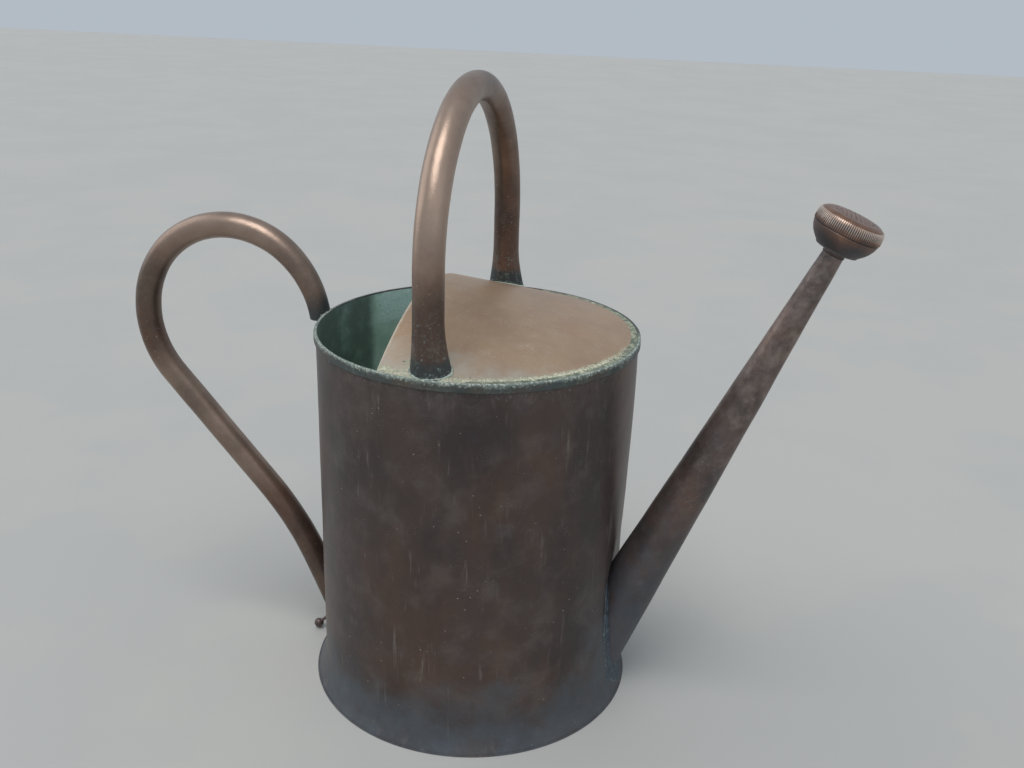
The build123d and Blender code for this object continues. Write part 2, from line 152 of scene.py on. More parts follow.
class Patina:
    """A surface, laid up coat by coat on the piece's own coordinates."""

    # Sockets of the Mix node for what is below, what is above and the result, by kind of data
    MIX_SOCKETS = {"RGBA": (6, 7, 2), "FLOAT": (2, 3, 0)}
    PATTERN_SHIFT = 0.173
    PATCH_ROUGHNESS = 0.6
    EDGE_DETAIL = 6.0
    EDGE_ROUGHNESS = 0.65
    RAGGED = 0.9
    EDGE = 0.975

    def __init__(self, name: str, colour: str, roughness: float, metallic: float) -> None:
        """Start a material from its plain surface.

        Args:
            name: Name of the material.
            colour: sRGB hex colour of the plain surface.
            roughness: Roughness of the plain surface.
            metallic: Share of bare metal in its shine.
        """
        self.material = bpy.data.materials.new(name)
        self.material.use_nodes = True
        self.tree = self.material.node_tree
        self.tree.nodes.clear()
        self.place = self.add("ShaderNodeTexCoord").outputs["Object"]
        self.colour: Socket | Colour = linear_colour(colour)
        self.roughness: Socket | float = roughness
        self.metallic: Socket | float = metallic
        self.normal: Socket | None = None
        self.patterns = 0

    def add(self, kind: str, inputs: dict[Any, Any] | None = None, **settings: Any) -> bpy.types.Node:
        """Add a node to this material's tree."""
        return add_node(self.tree, kind, inputs, **settings)

    def patches(
        self,
        size_mm: float,
        low: float,
        high: float,
        share: float = 1.0,
        stretch: Axes = (1, 1, 1),
        turn: Axes = (0, 0, 0),
        detail: float = 4.0,
        within: Socket | None = None,
    ) -> Socket:
        """Make a mask of soft patches.

        Args:
            size_mm: Real size of a patch.
            low: Noise level where a patch begins.
            high: Noise level where a patch is full.
            share: Strength of a full patch.
            stretch: How far patches are drawn out along each turned axis.
            turn: Turn of those axes, in radians.
            detail: Octaves of finer detail.
            within: Mask that the patches keep to.

        Returns:
            The mask's socket.
        """
        self.patterns += 1
        shift = self.PATTERN_SHIFT * self.patterns
        mapping = self.add(
            "ShaderNodeMapping",
            {
                "Vector": self.place,
                "Location": (shift, -shift, 2 * shift),
                "Rotation": turn,
                "Scale": stretch,
            },
            vector_type="TEXTURE",
        )
        cloud = self.add(
            "ShaderNodeTexNoise",
            {
                "Vector": mapping.outputs[0],
                "Scale": texture_scale(size_mm),
                "Detail": detail,
                "Roughness": self.PATCH_ROUGHNESS,
            },
        )
        mask = self.ease(cloud.outputs[0], low, high, share)
        if within is None:
            return mask
        return self.add("ShaderNodeMath", {0: mask, 1: within}, operation="MULTIPLY").outputs[0]

    def ease(self, value: Socket, low: float, high: float, share: float = 1.0) -> Socket:
        """Ease a value into a mask.

        Args:
            value: The value.
            low: Where the mask is 0.
            high: Where the mask is full.
            share: Strength of the full mask.

        Returns:
            The mask's socket.
        """
        levels = {"Value": value, "From Min": low, "From Max": high, "To Max": share}
        return self.add("ShaderNodeMapRange", levels, interpolation_type="SMOOTHSTEP").outputs[0]

    def level(self, mark: Mark) -> Socket:
        """Read one of the mesh's marks as it is."""
        return self.add("ShaderNodeAttribute", attribute_name=mark.value).outputs["Fac"]

    def aged(self, mark: Mark, size_mm: float, share: float = 1.0, blur: float = 0.175) -> Socket:
        """Make a ragged mask from one of the mesh's marks.

        Args:
            mark: The mark to read.
            size_mm: Size of the ragged edge's breaks.
            share: Strength where the mark is full.
            blur: How softly the mask fades at its edge.

        Returns:
            The mask's socket.
        """
        level = self.level(mark)
        cloud = self.add(
            "ShaderNodeTexNoise",
            {
                "Vector": self.place,
                "Scale": texture_scale(size_mm),
                "Detail": self.EDGE_DETAIL,
                "Roughness": self.EDGE_ROUGHNESS,
            },
        )
        broken = self.add(
            "ShaderNodeMath", {0: cloud.outputs[0], 1: self.RAGGED, 2: level}, operation="MULTIPLY_ADD"
        )
        return self.ease(broken.outputs[0], self.EDGE - blur, self.EDGE + blur, share)

    def specks(self, spacing_mm: float, size_mm: float, share: float) -> Socket:
        """Make a mask of scattered round specks.

        Args:
            spacing_mm: Distance between places where a speck may be.
            size_mm: Diameter of a speck.
            share: Share of those places that hold one.

        Returns:
            The mask's socket.
        """
        edge = size_mm / spacing_mm / 2
        cells = self.add(
            "ShaderNodeTexVoronoi", {"Vector": self.place, "Scale": texture_scale(spacing_mm)}
        )
        dot = self.ease(cells.outputs["Distance"], edge, edge / 2)
        draw = self.add("ShaderNodeSeparateColor", {0: cells.outputs["Color"]})
        chosen = self.add("ShaderNodeMath", {0: draw.outputs[0], 1: 1 - share}, operation="GREATER_THAN")
        mask = self.add("ShaderNodeMath", {0: dot, 1: chosen.outputs[0]}, operation="MULTIPLY")
        return mask.outputs[0]

    def lay(
        self, mask: Socket, colour: str, roughness: float | None = None, metallic: float | None = None
    ) -> None:
        """Lay a coat over what is there, where the mask says.

        Args:
            mask: Where the coat is, from 0 to 1.
            colour: sRGB hex colour of the coat.
            roughness: Roughness of the coat, where it differs.
            metallic: Bare metal in the coat's shine, where it differs.
        """
        self.colour = self.blend(mask, self.colour, linear_colour(colour), "RGBA")
        if roughness is not None:
            self.roughness = self.blend(mask, self.roughness, roughness)
        if metallic is not None:
            self.metallic = self.blend(mask, self.metallic, metallic)

    def blend(self, mask: Socket, below: Any, above: Any, data: str = "FLOAT") -> Socket:
        """Blend what is below with a coat's own value.

        Args:
            mask: Where the coat is, from 0 to 1.
            below: Value or socket of what is below.
            above: The coat's value.
            data: Kind of data, as the Mix node names it.

        Returns:
            The socket of the blended value.
        """
        low, high, result = self.MIX_SOCKETS[data]
        return self.add("ShaderNodeMix", {0: mask, low: below, high: above}, data_type=data).outputs[result]

    def grain(self, size_mm: float, depth_mm: float) -> None:
        """Raise the surface in grains of a size and depth."""
        self.emboss(self.patches(size_mm, 0.2, 0.8, detail=3.0), depth_mm)

    def with_normal(self, inputs: dict[str, Any]) -> dict[str, Any]:
        """Add the normal so far to a node's inputs, if the surface has been raised."""
        return inputs if self.normal is None else {**inputs, "Normal": self.normal}

    def emboss(self, mask: Socket, depth_mm: float) -> None:
        """Raise the surface by a mask."""
        inputs = self.with_normal({"Height": mask, "Strength": 1.0, "Distance": depth_mm * MM})
        self.normal = self.add("ShaderNodeBump", inputs).outputs[0]

    def done(self) -> bpy.types.Material:
        """Close the material with its shader.

        Returns:
            The material.
        """
        inputs = {"Base Color": self.colour, "Roughness": self.roughness, "Metallic": self.metallic}
        shader = self.add("ShaderNodeBsdfPrincipled", self.with_normal(inputs))
        self.add("ShaderNodeOutputMaterial", {"Surface": shader.outputs[0]})
        return self.material


@dataclass(frozen=True)
class AgedCopper:
    """Rolled copper left outdoors: a brown oxide skin that keeps a metal's broad shine.

    The oxide is mottled dark and ruddy, water leaves pale runs down it, handling rubs it bright, and joints
    and edges grow a blue-green crust that is dull and chalky. Where a piece asks for it, the rubbed coat
    is also a painted highlight and sheen, and the bloom coat painted shade.
    """

    name: str
    base: str
    dark: str
    ruddy: str
    pale: str
    bright: str = "#a08c7e"
    bloom: str = "#4a5158"
    crust: str = "#5d7573"
    crust_light: str = "#b9c3b9"
    speck: str = "#a29d96"
    roughness: float = 0.40
    metallic: float = 0.45
    mottle_mm: float = 55.0
    drawn: Axes = (1, 1, 1)
    ruddy_share: float = 0.6
    run_share: float = 0.4
    scratch_share: float = 0.4
    speck_share: float = 0.2
    cloud_mm: float = 8.0
    cloud_share: float = 0.15
    rub_mm: float = 9.0
    rub_blur: float = 0.3
    rub_metallic: float | None = None
    bloom_share: float = 0.75
    ruddy_spread: float = 1.6
    run_mm: float = 3.5
    run_drawn: Axes = (1, 1, 12)
    run_zone_mm: float = 45.0
    scratch_mm: float = 0.55
    scratch_drawn: Axes = (1, 1, 30)
    scratch_turns: tuple[Axes, ...] = ((0.5, 0.2, 0.4), (1.1, -0.4, 1.9), (0.1, 1.3, 0.8))
    scratch_zone_mm: float = 30.0
    speck_mm: float = 1.0
    speck_gap_mm: float = 4.5
    speck_zone_mm: float = 35.0
    polish: float = 0.06
    bloom_mm: float = 16.0
    smudge_mm: float = 9.0
    smudge_drawn: Axes = (1, 1, 1.8)
    crust_mm: float = 2.5
    chalk_mm: float = 1.6

    def build(self) -> bpy.types.Material:
        """Make the material.

        Returns:
            The material.
        """
        skin = Patina(self.name, self.base, self.roughness, self.metallic)
        skin.lay(skin.patches(self.mottle_mm, 0.36, 0.66, 1.0, self.drawn, detail=6), self.dark)
        ruddy_mm = self.mottle_mm * self.ruddy_spread
        skin.lay(skin.patches(ruddy_mm, 0.46, 0.68, self.ruddy_share, self.drawn, detail=5), self.ruddy)
        skin.lay(skin.patches(self.cloud_mm, 0.45, 0.75, self.cloud_share, detail=8), self.pale, 0.55)
        run_zone = skin.patches(self.run_zone_mm, 0.46, 0.62)
        runs = skin.patches(self.run_mm, 0.56, 0.76, self.run_share, self.run_drawn, within=run_zone)
        skin.lay(runs, self.pale, 0.58)
        # Scratches are drawn 0.55 mm wide, wider than real ones, so that they show.
        for turn in self.scratch_turns:
            zone = skin.patches(self.scratch_zone_mm, 0.54, 0.66)
            lines = skin.patches(
                self.scratch_mm, 0.63, 0.72, self.scratch_share, self.scratch_drawn, turn, 1.0, zone
            )
            skin.lay(lines, self.bright, 0.35)
        specks = skin.specks(self.speck_gap_mm, self.speck_mm, self.speck_share)
        skin.lay(skin.patches(self.speck_zone_mm, 0.44, 0.60, within=specks), self.speck, 0.7, 0.1)
        # Rubbed coat: worn bare metal, and in places painted highlight and sheen. Bloom coat: tarnish, and
        # in places painted shade.
        rubbed = skin.aged(Mark.RUB, self.rub_mm, 0.85, self.rub_blur)
        skin.lay(rubbed, self.bright, self.roughness - self.polish, self.rub_metallic)
        skin.lay(skin.aged(Mark.BLOOM, self.bloom_mm, self.bloom_share, 0.35), self.bloom, 0.58, 0.25)
        crusted = skin.level(Mark.CRUST)
        smudges = skin.patches(self.smudge_mm, 0.52, 0.74, 1.0, self.smudge_drawn, within=crusted)
        skin.lay(smudges, self.pale, 0.7, 0.2)
        crust = skin.aged(Mark.CRUST, self.crust_mm)
        skin.lay(crust, self.crust, 0.8, 0.05)
        skin.lay(skin.patches(self.chalk_mm, 0.48, 0.62, 0.9, within=crust), self.crust_light, 0.85)
        skin.grain(1.3, 0.035)
        skin.grain(14.0, 0.12)
        skin.emboss(crust, 0.15)
        return skin.done()


@dataclass(frozen=True)
class TinSolder:
    """Run tin solder gone dull: grey metal under a green-white chalky crust."""

    name: str
    metal: str = "#565d5c"
    shade: str = "#353e3f"
    crust: str = "#6b8580"
    chalk: str = "#b9c2b5"
    crust_share: float = 0.85
    roughness: float = 0.55
    metallic: float = 0.35
    chalk_roughness: float = 0.88

    def build(self) -> bpy.types.Material:
        """Make the material.

        Returns:
            The material.
        """
        skin = Patina(self.name, self.metal, self.roughness, self.metallic)
        skin.lay(skin.patches(9.0, 0.38, 0.62, detail=5), self.shade)
        crust = skin.patches(4.0, 0.48, 0.62, self.crust_share, detail=6)
        skin.lay(crust, self.crust, 0.8, 0.05)
        skin.lay(skin.patches(2.0, 0.50, 0.64, 0.9, within=crust), self.chalk, self.chalk_roughness, 0.0)
        skin.lay(skin.aged(Mark.CRUST, 2.0), self.chalk, self.chalk_roughness, 0.0)
        skin.grain(1.1, 0.15)
        return skin.done()


@dataclass(frozen=True)
class OiledLeather:
    """Oiled leather washer: dark, close-grained and slightly waxy."""

    name: str
    hide: str = "#3a2a20"
    worn: str = "#5a4433"

    def build(self) -> bpy.types.Material:
        """Make the material.

        Returns:
            The material.
        """
        skin = Patina(self.name, self.hide, 0.6, 0.0)
        skin.lay(skin.patches(3.0, 0.45, 0.7, 0.7), self.worn, 0.7)
        skin.grain(0.6, 0.08)
        return skin.done()


@dataclass(frozen=True)
class StudioFloor:
    """Painted floor: pale and matt."""

    name: str = "studio_floor_matt"
    paint: str = "#bdbbb5"
    cloud: str = "#b7b6b3"

    def build(self) -> bpy.types.Material:
        """Make the material.

        Returns:
            The material.
        """
        skin = Patina(self.name, self.paint, 0.55, 0.0)
        skin.lay(skin.patches(260.0, 0.4, 0.6, 0.6), self.cloud)
        return skin.done()


@dataclass(frozen=True)
class Palette:
    """The finishes of the can."""

    # Browned outside: dark and even, with pale runs and a few flecks
    tank: AgedCopper = AgedCopper(
        "tank_browned_copper", "#50433f", "#3f3737", "#5f4839", "#7f7772", bright="#a0958d",
        drawn=(1, 1, 2.0), run_share=0.7, scratch_share=0.25, speck_share=0.30, speck="#b8b3aa",
        cloud_mm=24.0, cloud_share=0.26, bloom_share=0.7, bloom="#535f67",
    )
    # Verdigris inside: dull, green and chalky, its pale colours partly standing in for the light that
    # reaches the inside; its bloom coat is painted shade at the rear
    inside: AgedCopper = AgedCopper(
        "tank_inside_verdigris_and_painted_light", "#c0e2d3", "#97b8ac", "#a6cfae", "#d6e9df", bright="#d6e9df",
        roughness=0.65, metallic=0.1, mottle_mm=42.0, run_share=0.4, scratch_share=0.1, cloud_share=0.3,
        crust="#bfe3da", crust_light="#dbeee8", bloom="#66786f", bloom_share=0.9,
    )
    # Tarnished band: blue-grey, with brown showing through
    rim: AgedCopper = AgedCopper(
        "rim_tarnished_copper", "#55554f", "#3d4341", "#614e40", "#8a918b", run_share=0.0,
        mottle_mm=20.0, ruddy_share=0.8, crust="#78837d", crust_light="#c3c8ba", bloom="#414d4d",
    )
    # Worn cover: pale warm brown, since hands and cans of water have kept it clean
    cover: AgedCopper = AgedCopper(
        "cover_worn_copper", "#b3977c", "#a88b72", "#b68f6d", "#c2ad98", bright="#dccdb8",
        roughness=0.42, metallic=0.5, run_share=0.0, scratch_share=0.8, speck_share=0.10,
        crust_light="#d2cfb8", crust="#a5a791", bloom="#b0ada2",
    )
    # Drawn tube: dark brown, rubbed to a broad copper shine where it is held; the same bright coat is also
    # laid on as painted highlight and sheen where the tube faces the light
    tube: AgedCopper = AgedCopper(
        "tube_drawn_copper", "#57453c", "#40342e", "#684838", "#918681", bright="#bfa694",
        roughness=0.38, metallic=0.55, run_share=0.0, mottle_mm=45.0, speck_share=1.0, cloud_mm=4.0,
        cloud_share=0.06, rub_mm=60.0, rub_blur=0.55, rub_metallic=0.8, bloom="#353f40",
        bloom_share=0.95,
    )
    # Rolled spout: brown, greyer towards its root, with a painted sheen towards its tip
    spout: AgedCopper = AgedCopper(
        "spout_rolled_copper", "#655650", "#4d4340", "#735343", "#87807b", bright="#a5958c",
        roughness=0.40, metallic=0.45, run_share=0.25, mottle_mm=40.0, bloom="#4b545e",
    )
    # Turned rose: smooth satin brown, with bright ridges; the bright coat is also a painted highlight on the
    # knurl, and the bloom coat painted shade below it
    rose: AgedCopper = AgedCopper(
        "rose_turned_copper", "#866553", "#6a4f41", "#9c6c50", "#a0938b", bright="#d6c6b9",
        roughness=0.36, metallic=0.5, run_share=0.0, mottle_mm=14.0, scratch_share=0.3,
        cloud_share=0.08, rub_metallic=0.85, bloom="#424448", bloom_share=0.9,
    )
    solder: TinSolder = TinSolder("joint_tin_solder")
    apron: TinSolder = TinSolder(
        "root_tin_apron", "#48535d", "#3b444c", "#59686f", "#84949a", crust_share=0.45
    )
    crust: TinSolder = TinSolder("joint_chalk_crust", "#8f937e", "#6b7364", "#a8ab93", "#d3d0b8")
    leather: OiledLeather = OiledLeather("washer_oiled_leather")


class Materials:
    """The palette's materials, made once and handed out by name."""

    def __init__(self, palette: Palette) -> None:
        """Make every material of a palette."""
        self.made = {field.name: getattr(palette, field.name).build() for field in fields(palette)}

    def __getitem__(self, name: str) -> bpy.types.Material:
        """Hand out a material."""
        return self.made[name]


def link_object(name: str, data: bpy.types.ID | None) -> bpy.types.Object:
    """Put a new object in the scene, at the origin.

    Args:
        name: Name of the object.
        data: Its mesh, lamp or camera.

    Returns:
        The object.
    """
    item = bpy.data.objects.new(name, data)
    bpy.context.scene.collection.objects.link(item)
    return item


def shade(piece: bpy.types.Object, crease_degrees: float) -> None:
    """Shade a piece smooth, apart from its creases."""
    piece.data.shade_smooth()
    piece.data.set_sharp_from_angle(angle=math.radians(crease_degrees))


def make_piece(
    name: str, points: Sequence[Vector], faces: Iterable[Sequence[int]], crease_degrees: float = CREASE
) -> bpy.types.Object:
    """Make a mesh piece with merged seams and faces that point outwards.

    Args:
        name: Name of the piece.
        points: Its vertices.
        faces: Its faces, as indices of the vertices.
        crease_degrees: Edges sharper than this stay sharp.

    Returns:
        The piece's object.
    """
    mesh = bpy.data.meshes.new(name)
    mesh.from_pydata([tuple(p) for p in points], [], [tuple(f) for f in faces])
    shape = bmesh.new()
    shape.from_mesh(mesh)
    bmesh.ops.remove_doubles(shape, verts=shape.verts, dist=SEAM)
    bmesh.ops.dissolve_degenerate(shape, edges=shape.edges, dist=SLIVER)
    bmesh.ops.recalc_face_normals(shape, faces=shape.faces)
    shape.to_mesh(mesh)
    shape.free()
    piece = link_object(name, mesh)
    shade(piece, crease_degrees)
    return piece


def skin_piece(
    name: str, rings: Sequence[Ring], closed_loft: bool = False, crease_degrees: float = CREASE
) -> bpy.types.Object:
    """Skin a row of closed rings with quads.

    Args:
        name: Name of the piece.
        rings: Rings of as many points each.
        closed_loft: Whether the last ring joins the first; the ends are closed if not.
        crease_degrees: Edges sharper than this stay sharp.

    Returns:
        The piece's object.
    """
    size = len(rings[0])
    points = [p for ring in rings for p in ring]
    spans = len(rings) if closed_loft else len(rings) - 1
    faces: list[tuple[int, ...]] = []
    for row in range(spans):
        low = row * size
        high = (row + 1) % len(rings) * size
        for i in range(size):
            j = (i + 1) % size
            faces.append((low + i, low + j, high + j, high + i))
    if not closed_loft:
        faces.append(tuple(range(size)))
        faces.append(tuple(range(len(points) - size, len(points))))
    return make_piece(name, points, faces, crease_degrees)


def turn_piece(
    name: str,
    profile: Profile,
    angles: Sequence[float],
    place: Matrix | None = None,
    swell: Swell | None = None,
    closed_loft: bool = False,
    crease_degrees: float = CREASE,
) -> bpy.types.Object:
    """Turn a profile about its local Z axis.

    Args:
        name: Name of the piece.
        profile: Radius and height of each row.
        angles: Angles of the ring's points, in radians.
        place: Where the local axis stands, if not at the origin.
        swell: Change of radius at an angle, a height and a row.
        closed_loft: Whether the last row joins the first; the ends are closed if not.
        crease_degrees: Edges sharper than this stay sharp.

    Returns:
        The piece's object.
    """
    stand = place or Matrix()
    rings = []
    for row, (radius, height) in enumerate(profile):
        wide = [radius + (swell(angle, height, row) if swell else 0.0) for angle in angles]
        rings.append([stand @ polar(reach, angle, height) for reach, angle in zip(wide, angles)])
    return skin_piece(name, rings, closed_loft, crease_degrees)


def even_angles(count: int) -> list[float]:
    """Angles of a full turn, evenly spaced."""
    return [math.tau * i / count for i in range(count)]


def steps(low: float, high: float, size: float) -> list[float]:
    """Values from low to high in even steps of about a size, both ends included."""
    count = max(round(abs(high - low) / size), 1)
    return [low + (high - low) * i / count for i in range(count + 1)]


def lumps(point: Vector, size: float) -> float:
    """Smooth noise between about -1 and 1, in lumps of a size."""
    return noise.noise(point / size, noise_basis="PERLIN_NEW")


@dataclass(frozen=True)
class Wave:
    """Uneven hand work: broad waves with finer ones on them."""

    depth: float
    size: float
    fine_depth: float
    fine_size: float

    def at(self, spot: Vector) -> float:
        """How far the waves rise at a point."""
        return self.depth * lumps(spot, self.size) + self.fine_depth * lumps(spot, self.fine_size)


@dataclass(frozen=True)
class Fade:
    """A level that grows between two places, from nothing to full."""

    none: float
    full: float
    level: float = 1.0

    def at(self, place: float) -> float:
        """Level at a place."""
        return self.level * smooth_step(self.none, self.full, place)


def frame_at(spot: Vector, out: Vector) -> Matrix:
    """Local frame at a point, with X across the can, Y back towards the tank and Z out.

    Args:
        spot: Origin of the frame.
        out: Way out, in the can's middle plane.

    Returns:
        The frame's matrix.
    """
    across = Vector((0, 1, 0))
    turn = Matrix((across, out.cross(across), out)).transposed().to_4x4()
    return Matrix.Translation(spot) @ turn


def bake_modifiers(piece: bpy.types.Object) -> None:
    """Turn a piece's modifiers into plain mesh.

    Args:
        piece: The piece.
    """
    graph = bpy.context.evaluated_depsgraph_get()
    mesh = bpy.data.meshes.new_from_object(piece.evaluated_get(graph), depsgraph=graph)
    piece.modifiers.clear()
    plain = piece.data
    piece.data = mesh
    bpy.data.meshes.remove(plain)
    mesh.name = piece.name


def cut_away(
    piece: bpy.types.Object, cutters: Sequence[bpy.types.Object], crease_degrees: float = CREASE
) -> None:
    """Cut solids out of a piece.

    Args:
        piece: The piece to cut.
        cutters: Closed solids, which stay.
        crease_degrees: Edges sharper than this stay sharp.
    """
    for cutter in cutters:
        cut = piece.modifiers.new("cut", "BOOLEAN")
        cut.operation = "DIFFERENCE"
        cut.solver = "EXACT"
        cut.object = cutter
    bake_modifiers(piece)
    shade(piece, crease_degrees)


def discard(item: bpy.types.Object) -> None:
    """Remove a helper object from the scene."""
    bpy.data.objects.remove(item)


@dataclass
class Maker:
    """Makes some of the can's pieces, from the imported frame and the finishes."""

    frame: Frame
    materials: Materials

    def seat(
        self,
        piece: bpy.types.Object,
        body: str,
        slot: str,
        finishes: Sequence[str],
        nodes: Sequence[str] = (),
        marks: dict[Mark, Rule] | None = None,
    ) -> None:
        """Finish a piece: its marks, materials, body and the nodes that it stands for.

        Args:
            piece: The piece.
            body: Body that it rides on.
            slot: The record's material slot; not used.
            finishes: Finishes of its slots, in order.
            nodes: Nodes that it stands for.
            marks: Level of each mark at a point.
        """
        for mark, rule in (marks or {}).items():
            layer = piece.data.attributes.new(mark.value, "FLOAT", "POINT")
            layer.data.foreach_set("value", [rule(v.co) for v in piece.data.vertices])
        self.dress(piece, finishes)
        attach(piece, body)
        for node in nodes:
            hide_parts(node)
        LOG.info("%s rides on %s, %d faces", piece.name, body, len(piece.data.polygons))

    def dress(self, piece: bpy.types.Object, finishes: Sequence[str]) -> None:
        """Give a piece its materials.

        Args:
            piece: The piece.
            finishes: Finishes of its slots, in order.
        """
        piece.data.materials.clear()
        for finish in finishes:
            piece.data.materials.append(self.materials[finish])

    def dress_node(self, node: str, finish: str) -> None:
        """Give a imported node, which keeps its solid, a finish."""
        self.dress(self.frame["nodes"][node], [finish])
        LOG.info("%s keeps its solid", node)


class Recipe:
    """A Geometry Nodes tree with a named input for each of its sizes."""

    KINDS = (
        (int, "NodeSocketInt"),
        (float, "NodeSocketFloat"),
        ((tuple, Vector), "NodeSocketVector"),
        (Euler, "NodeSocketRotation"),
        (bpy.types.Material, "NodeSocketMaterial"),
    )

    def __init__(self, name: str, sizes: dict[str, Any]) -> None:
        """Start a tree.

        Args:
            name: Name of the tree.
            sizes: Values of its named inputs, with its material among them.
        """
        self.sizes = sizes
        self.tree = bpy.data.node_groups.new(name, "GeometryNodeTree")
        face = self.tree.interface
        face.new_socket("Geometry", in_out="OUTPUT", socket_type="NodeSocketGeometry")
        face.new_socket("Start", in_out="INPUT", socket_type="NodeSocketGeometry")
        for label, value in sizes.items():
            kind = next(kind for types, kind in self.KINDS if isinstance(value, types))
            face.new_socket(label, in_out="INPUT", socket_type=kind)
        self.given = self.add("NodeGroupInput").outputs

    def add(self, kind: str, inputs: dict[Any, Any] | None = None, **settings: Any) -> bpy.types.Node:
        """Add a node to this tree."""
        return add_node(self.tree, kind, inputs, **settings)

    def grow(
        self, name: str, shape: Socket, crease_degrees: float | None, start: bpy.types.Object | None = None
    ) -> bpy.types.Object:
        """Close the tree and grow a plain mesh piece from it.

        Args:
            name: Name of the piece.
            shape: What the tree makes; its instances become mesh, which takes the material.
            crease_degrees: Edges sharper than this stay sharp, or none if left as the tree has them.
            start: Object that the tree starts from and that becomes the piece, if it needs one.

        Returns:
            The piece's object.
        """
        real = self.add("GeometryNodeRealizeInstances", {0: shape})
        smooth = self.add("GeometryNodeSetShadeSmooth", {0: real.outputs[0]})
        dress = {0: smooth.outputs[0], "Material": self.given["Material"]}
        self.add("NodeGroupOutput", {0: self.add("GeometryNodeSetMaterial", dress).outputs[0]})
        piece = start or link_object(name, bpy.data.meshes.new(name))
        piece.name = name
        modifier = piece.modifiers.new("grow", "NODES")
        modifier.node_group = self.tree
        for item in self.tree.interface.items_tree:
            if item.in_out == "INPUT" and item.name in self.sizes:
                modifier[item.identifier] = self.sizes[item.name]
        bake_modifiers(piece)
        if crease_degrees is not None:
            shade(piece, crease_degrees)
        return piece


@dataclass(frozen=True)
class SolderLumps:
    """How hand-run solder is lumped."""

    voxel: float = 0.5 * MM
    depth: float = 0.3 * MM
    waves: Wave = Wave(1.0, 5.0 * MM, 0.5, 5.0 * MM / 2.3)
    loose: float = 0.002 * MM
    soft_factor: float = 0.5
    soft_rounds: int = 6
    crease_degrees: float = 60.0

    def copy_node(self, frame: Frame, node: str, name: str) -> bpy.types.Object:
        """Copy a node's solid as a lumpy run of solder.

        Args:
            frame: The loaded frame.
            node: Node to copy.
            name: Name of the piece.

        Returns:
            The piece's object.
        """
        piece = link_object(name, frame["nodes"][node].data.copy())
        shape = bmesh.new()
        shape.from_mesh(piece.data)
        bmesh.ops.remove_doubles(shape, verts=shape.verts, dist=self.loose)
        shape.to_mesh(piece.data)
        shape.free()
        even = piece.modifiers.new("even", "REMESH")
        even.mode = "VOXEL"
        even.voxel_size = self.voxel
        soft = piece.modifiers.new("soft", "SMOOTH")
        soft.factor = self.soft_factor
        soft.iterations = self.soft_rounds
        bake_modifiers(piece)
        for vertex in piece.data.vertices:
            vertex.co += vertex.normal * self.depth * self.waves.at(vertex.co)
        shade(piece, self.crease_degrees)
        return piece


@dataclass(frozen=True)
class SolderBead:
    """An uneven bead of solder."""

    radius: float
    waves: Wave = Wave(0.35, 6.0 * MM, 0.2, 2.5 * MM)
    sides: int = 10
    crease_degrees: float = 70.0

    def run(self, name: str, path: Sequence[Vector]) -> bpy.types.Object:
        """Run the bead along a closed path.

        Args:
            name: Name of the piece.
            path: Points of the closed path.

        Returns:
            The piece's object.
        """
        rings = []
        for index, spot in enumerate(path):
            along = path[(index + 1) % len(path)] - path[index - 1]
            side = along.cross(Vector((0, 0, 1))).normalized()
            over = side.cross(along).normalized()
            wide = self.radius * (1 + self.waves.at(spot))
            ring = [spot + (side * math.cos(t) + over * math.sin(t)) * wide for t in even_angles(self.sides)]
            rings.append(ring)
        return skin_piece(name, rings, True, self.crease_degrees)


@dataclass(frozen=True)
class Dent:
    """A shallow knock in the tank's wall."""

    angle: float
    height: float
    across: float
    tall: float
    depth: float

    def push(self, angle: float, height: float, radius: float) -> float:
        """How far the knock pushes the wall in.

        Args:
            angle: Angle of a point of the wall.
            height: Height of the point.
            radius: Radius of the wall.

        Returns:
            The distance.
        """
        turn = (angle - self.angle + math.pi) % math.tau - math.pi
        over = (turn * radius / self.across) ** 2 + ((height - self.height) / self.tall) ** 2
        return self.depth * math.exp(-over)


@dataclass(frozen=True)
class Fold:
    """The fold pressed into the tank's wall where the spout has been pushed back."""

    half_angle: float = math.radians(18.0)
    low: float = 25.0 * MM
    deepest: float = 101.0 * MM
    high: float = 262.0 * MM
    fade: float = 24.0 * MM
    depth: float = 11.5 * MM
    crease: float = 1.5 * MM

    def push(self, angle: float, height: float) -> float:
        """How far the fold pushes the wall in.

        Args:
            angle: Angle of a point of the wall.
            height: Height of the point.

        Returns:
            The distance.
        """
        turn = abs((angle + math.pi) % math.tau - math.pi)
        across = max(1 - turn / self.half_angle, 0.0)
        if height < self.deepest:
            return across * (self.depth + self.crease) * smooth_step(self.low, self.deepest, height)
        above = self.depth * math.exp((self.deepest - height) / self.fade)
        return across * (above + self.crease * smooth_step(self.high, self.deepest, height))


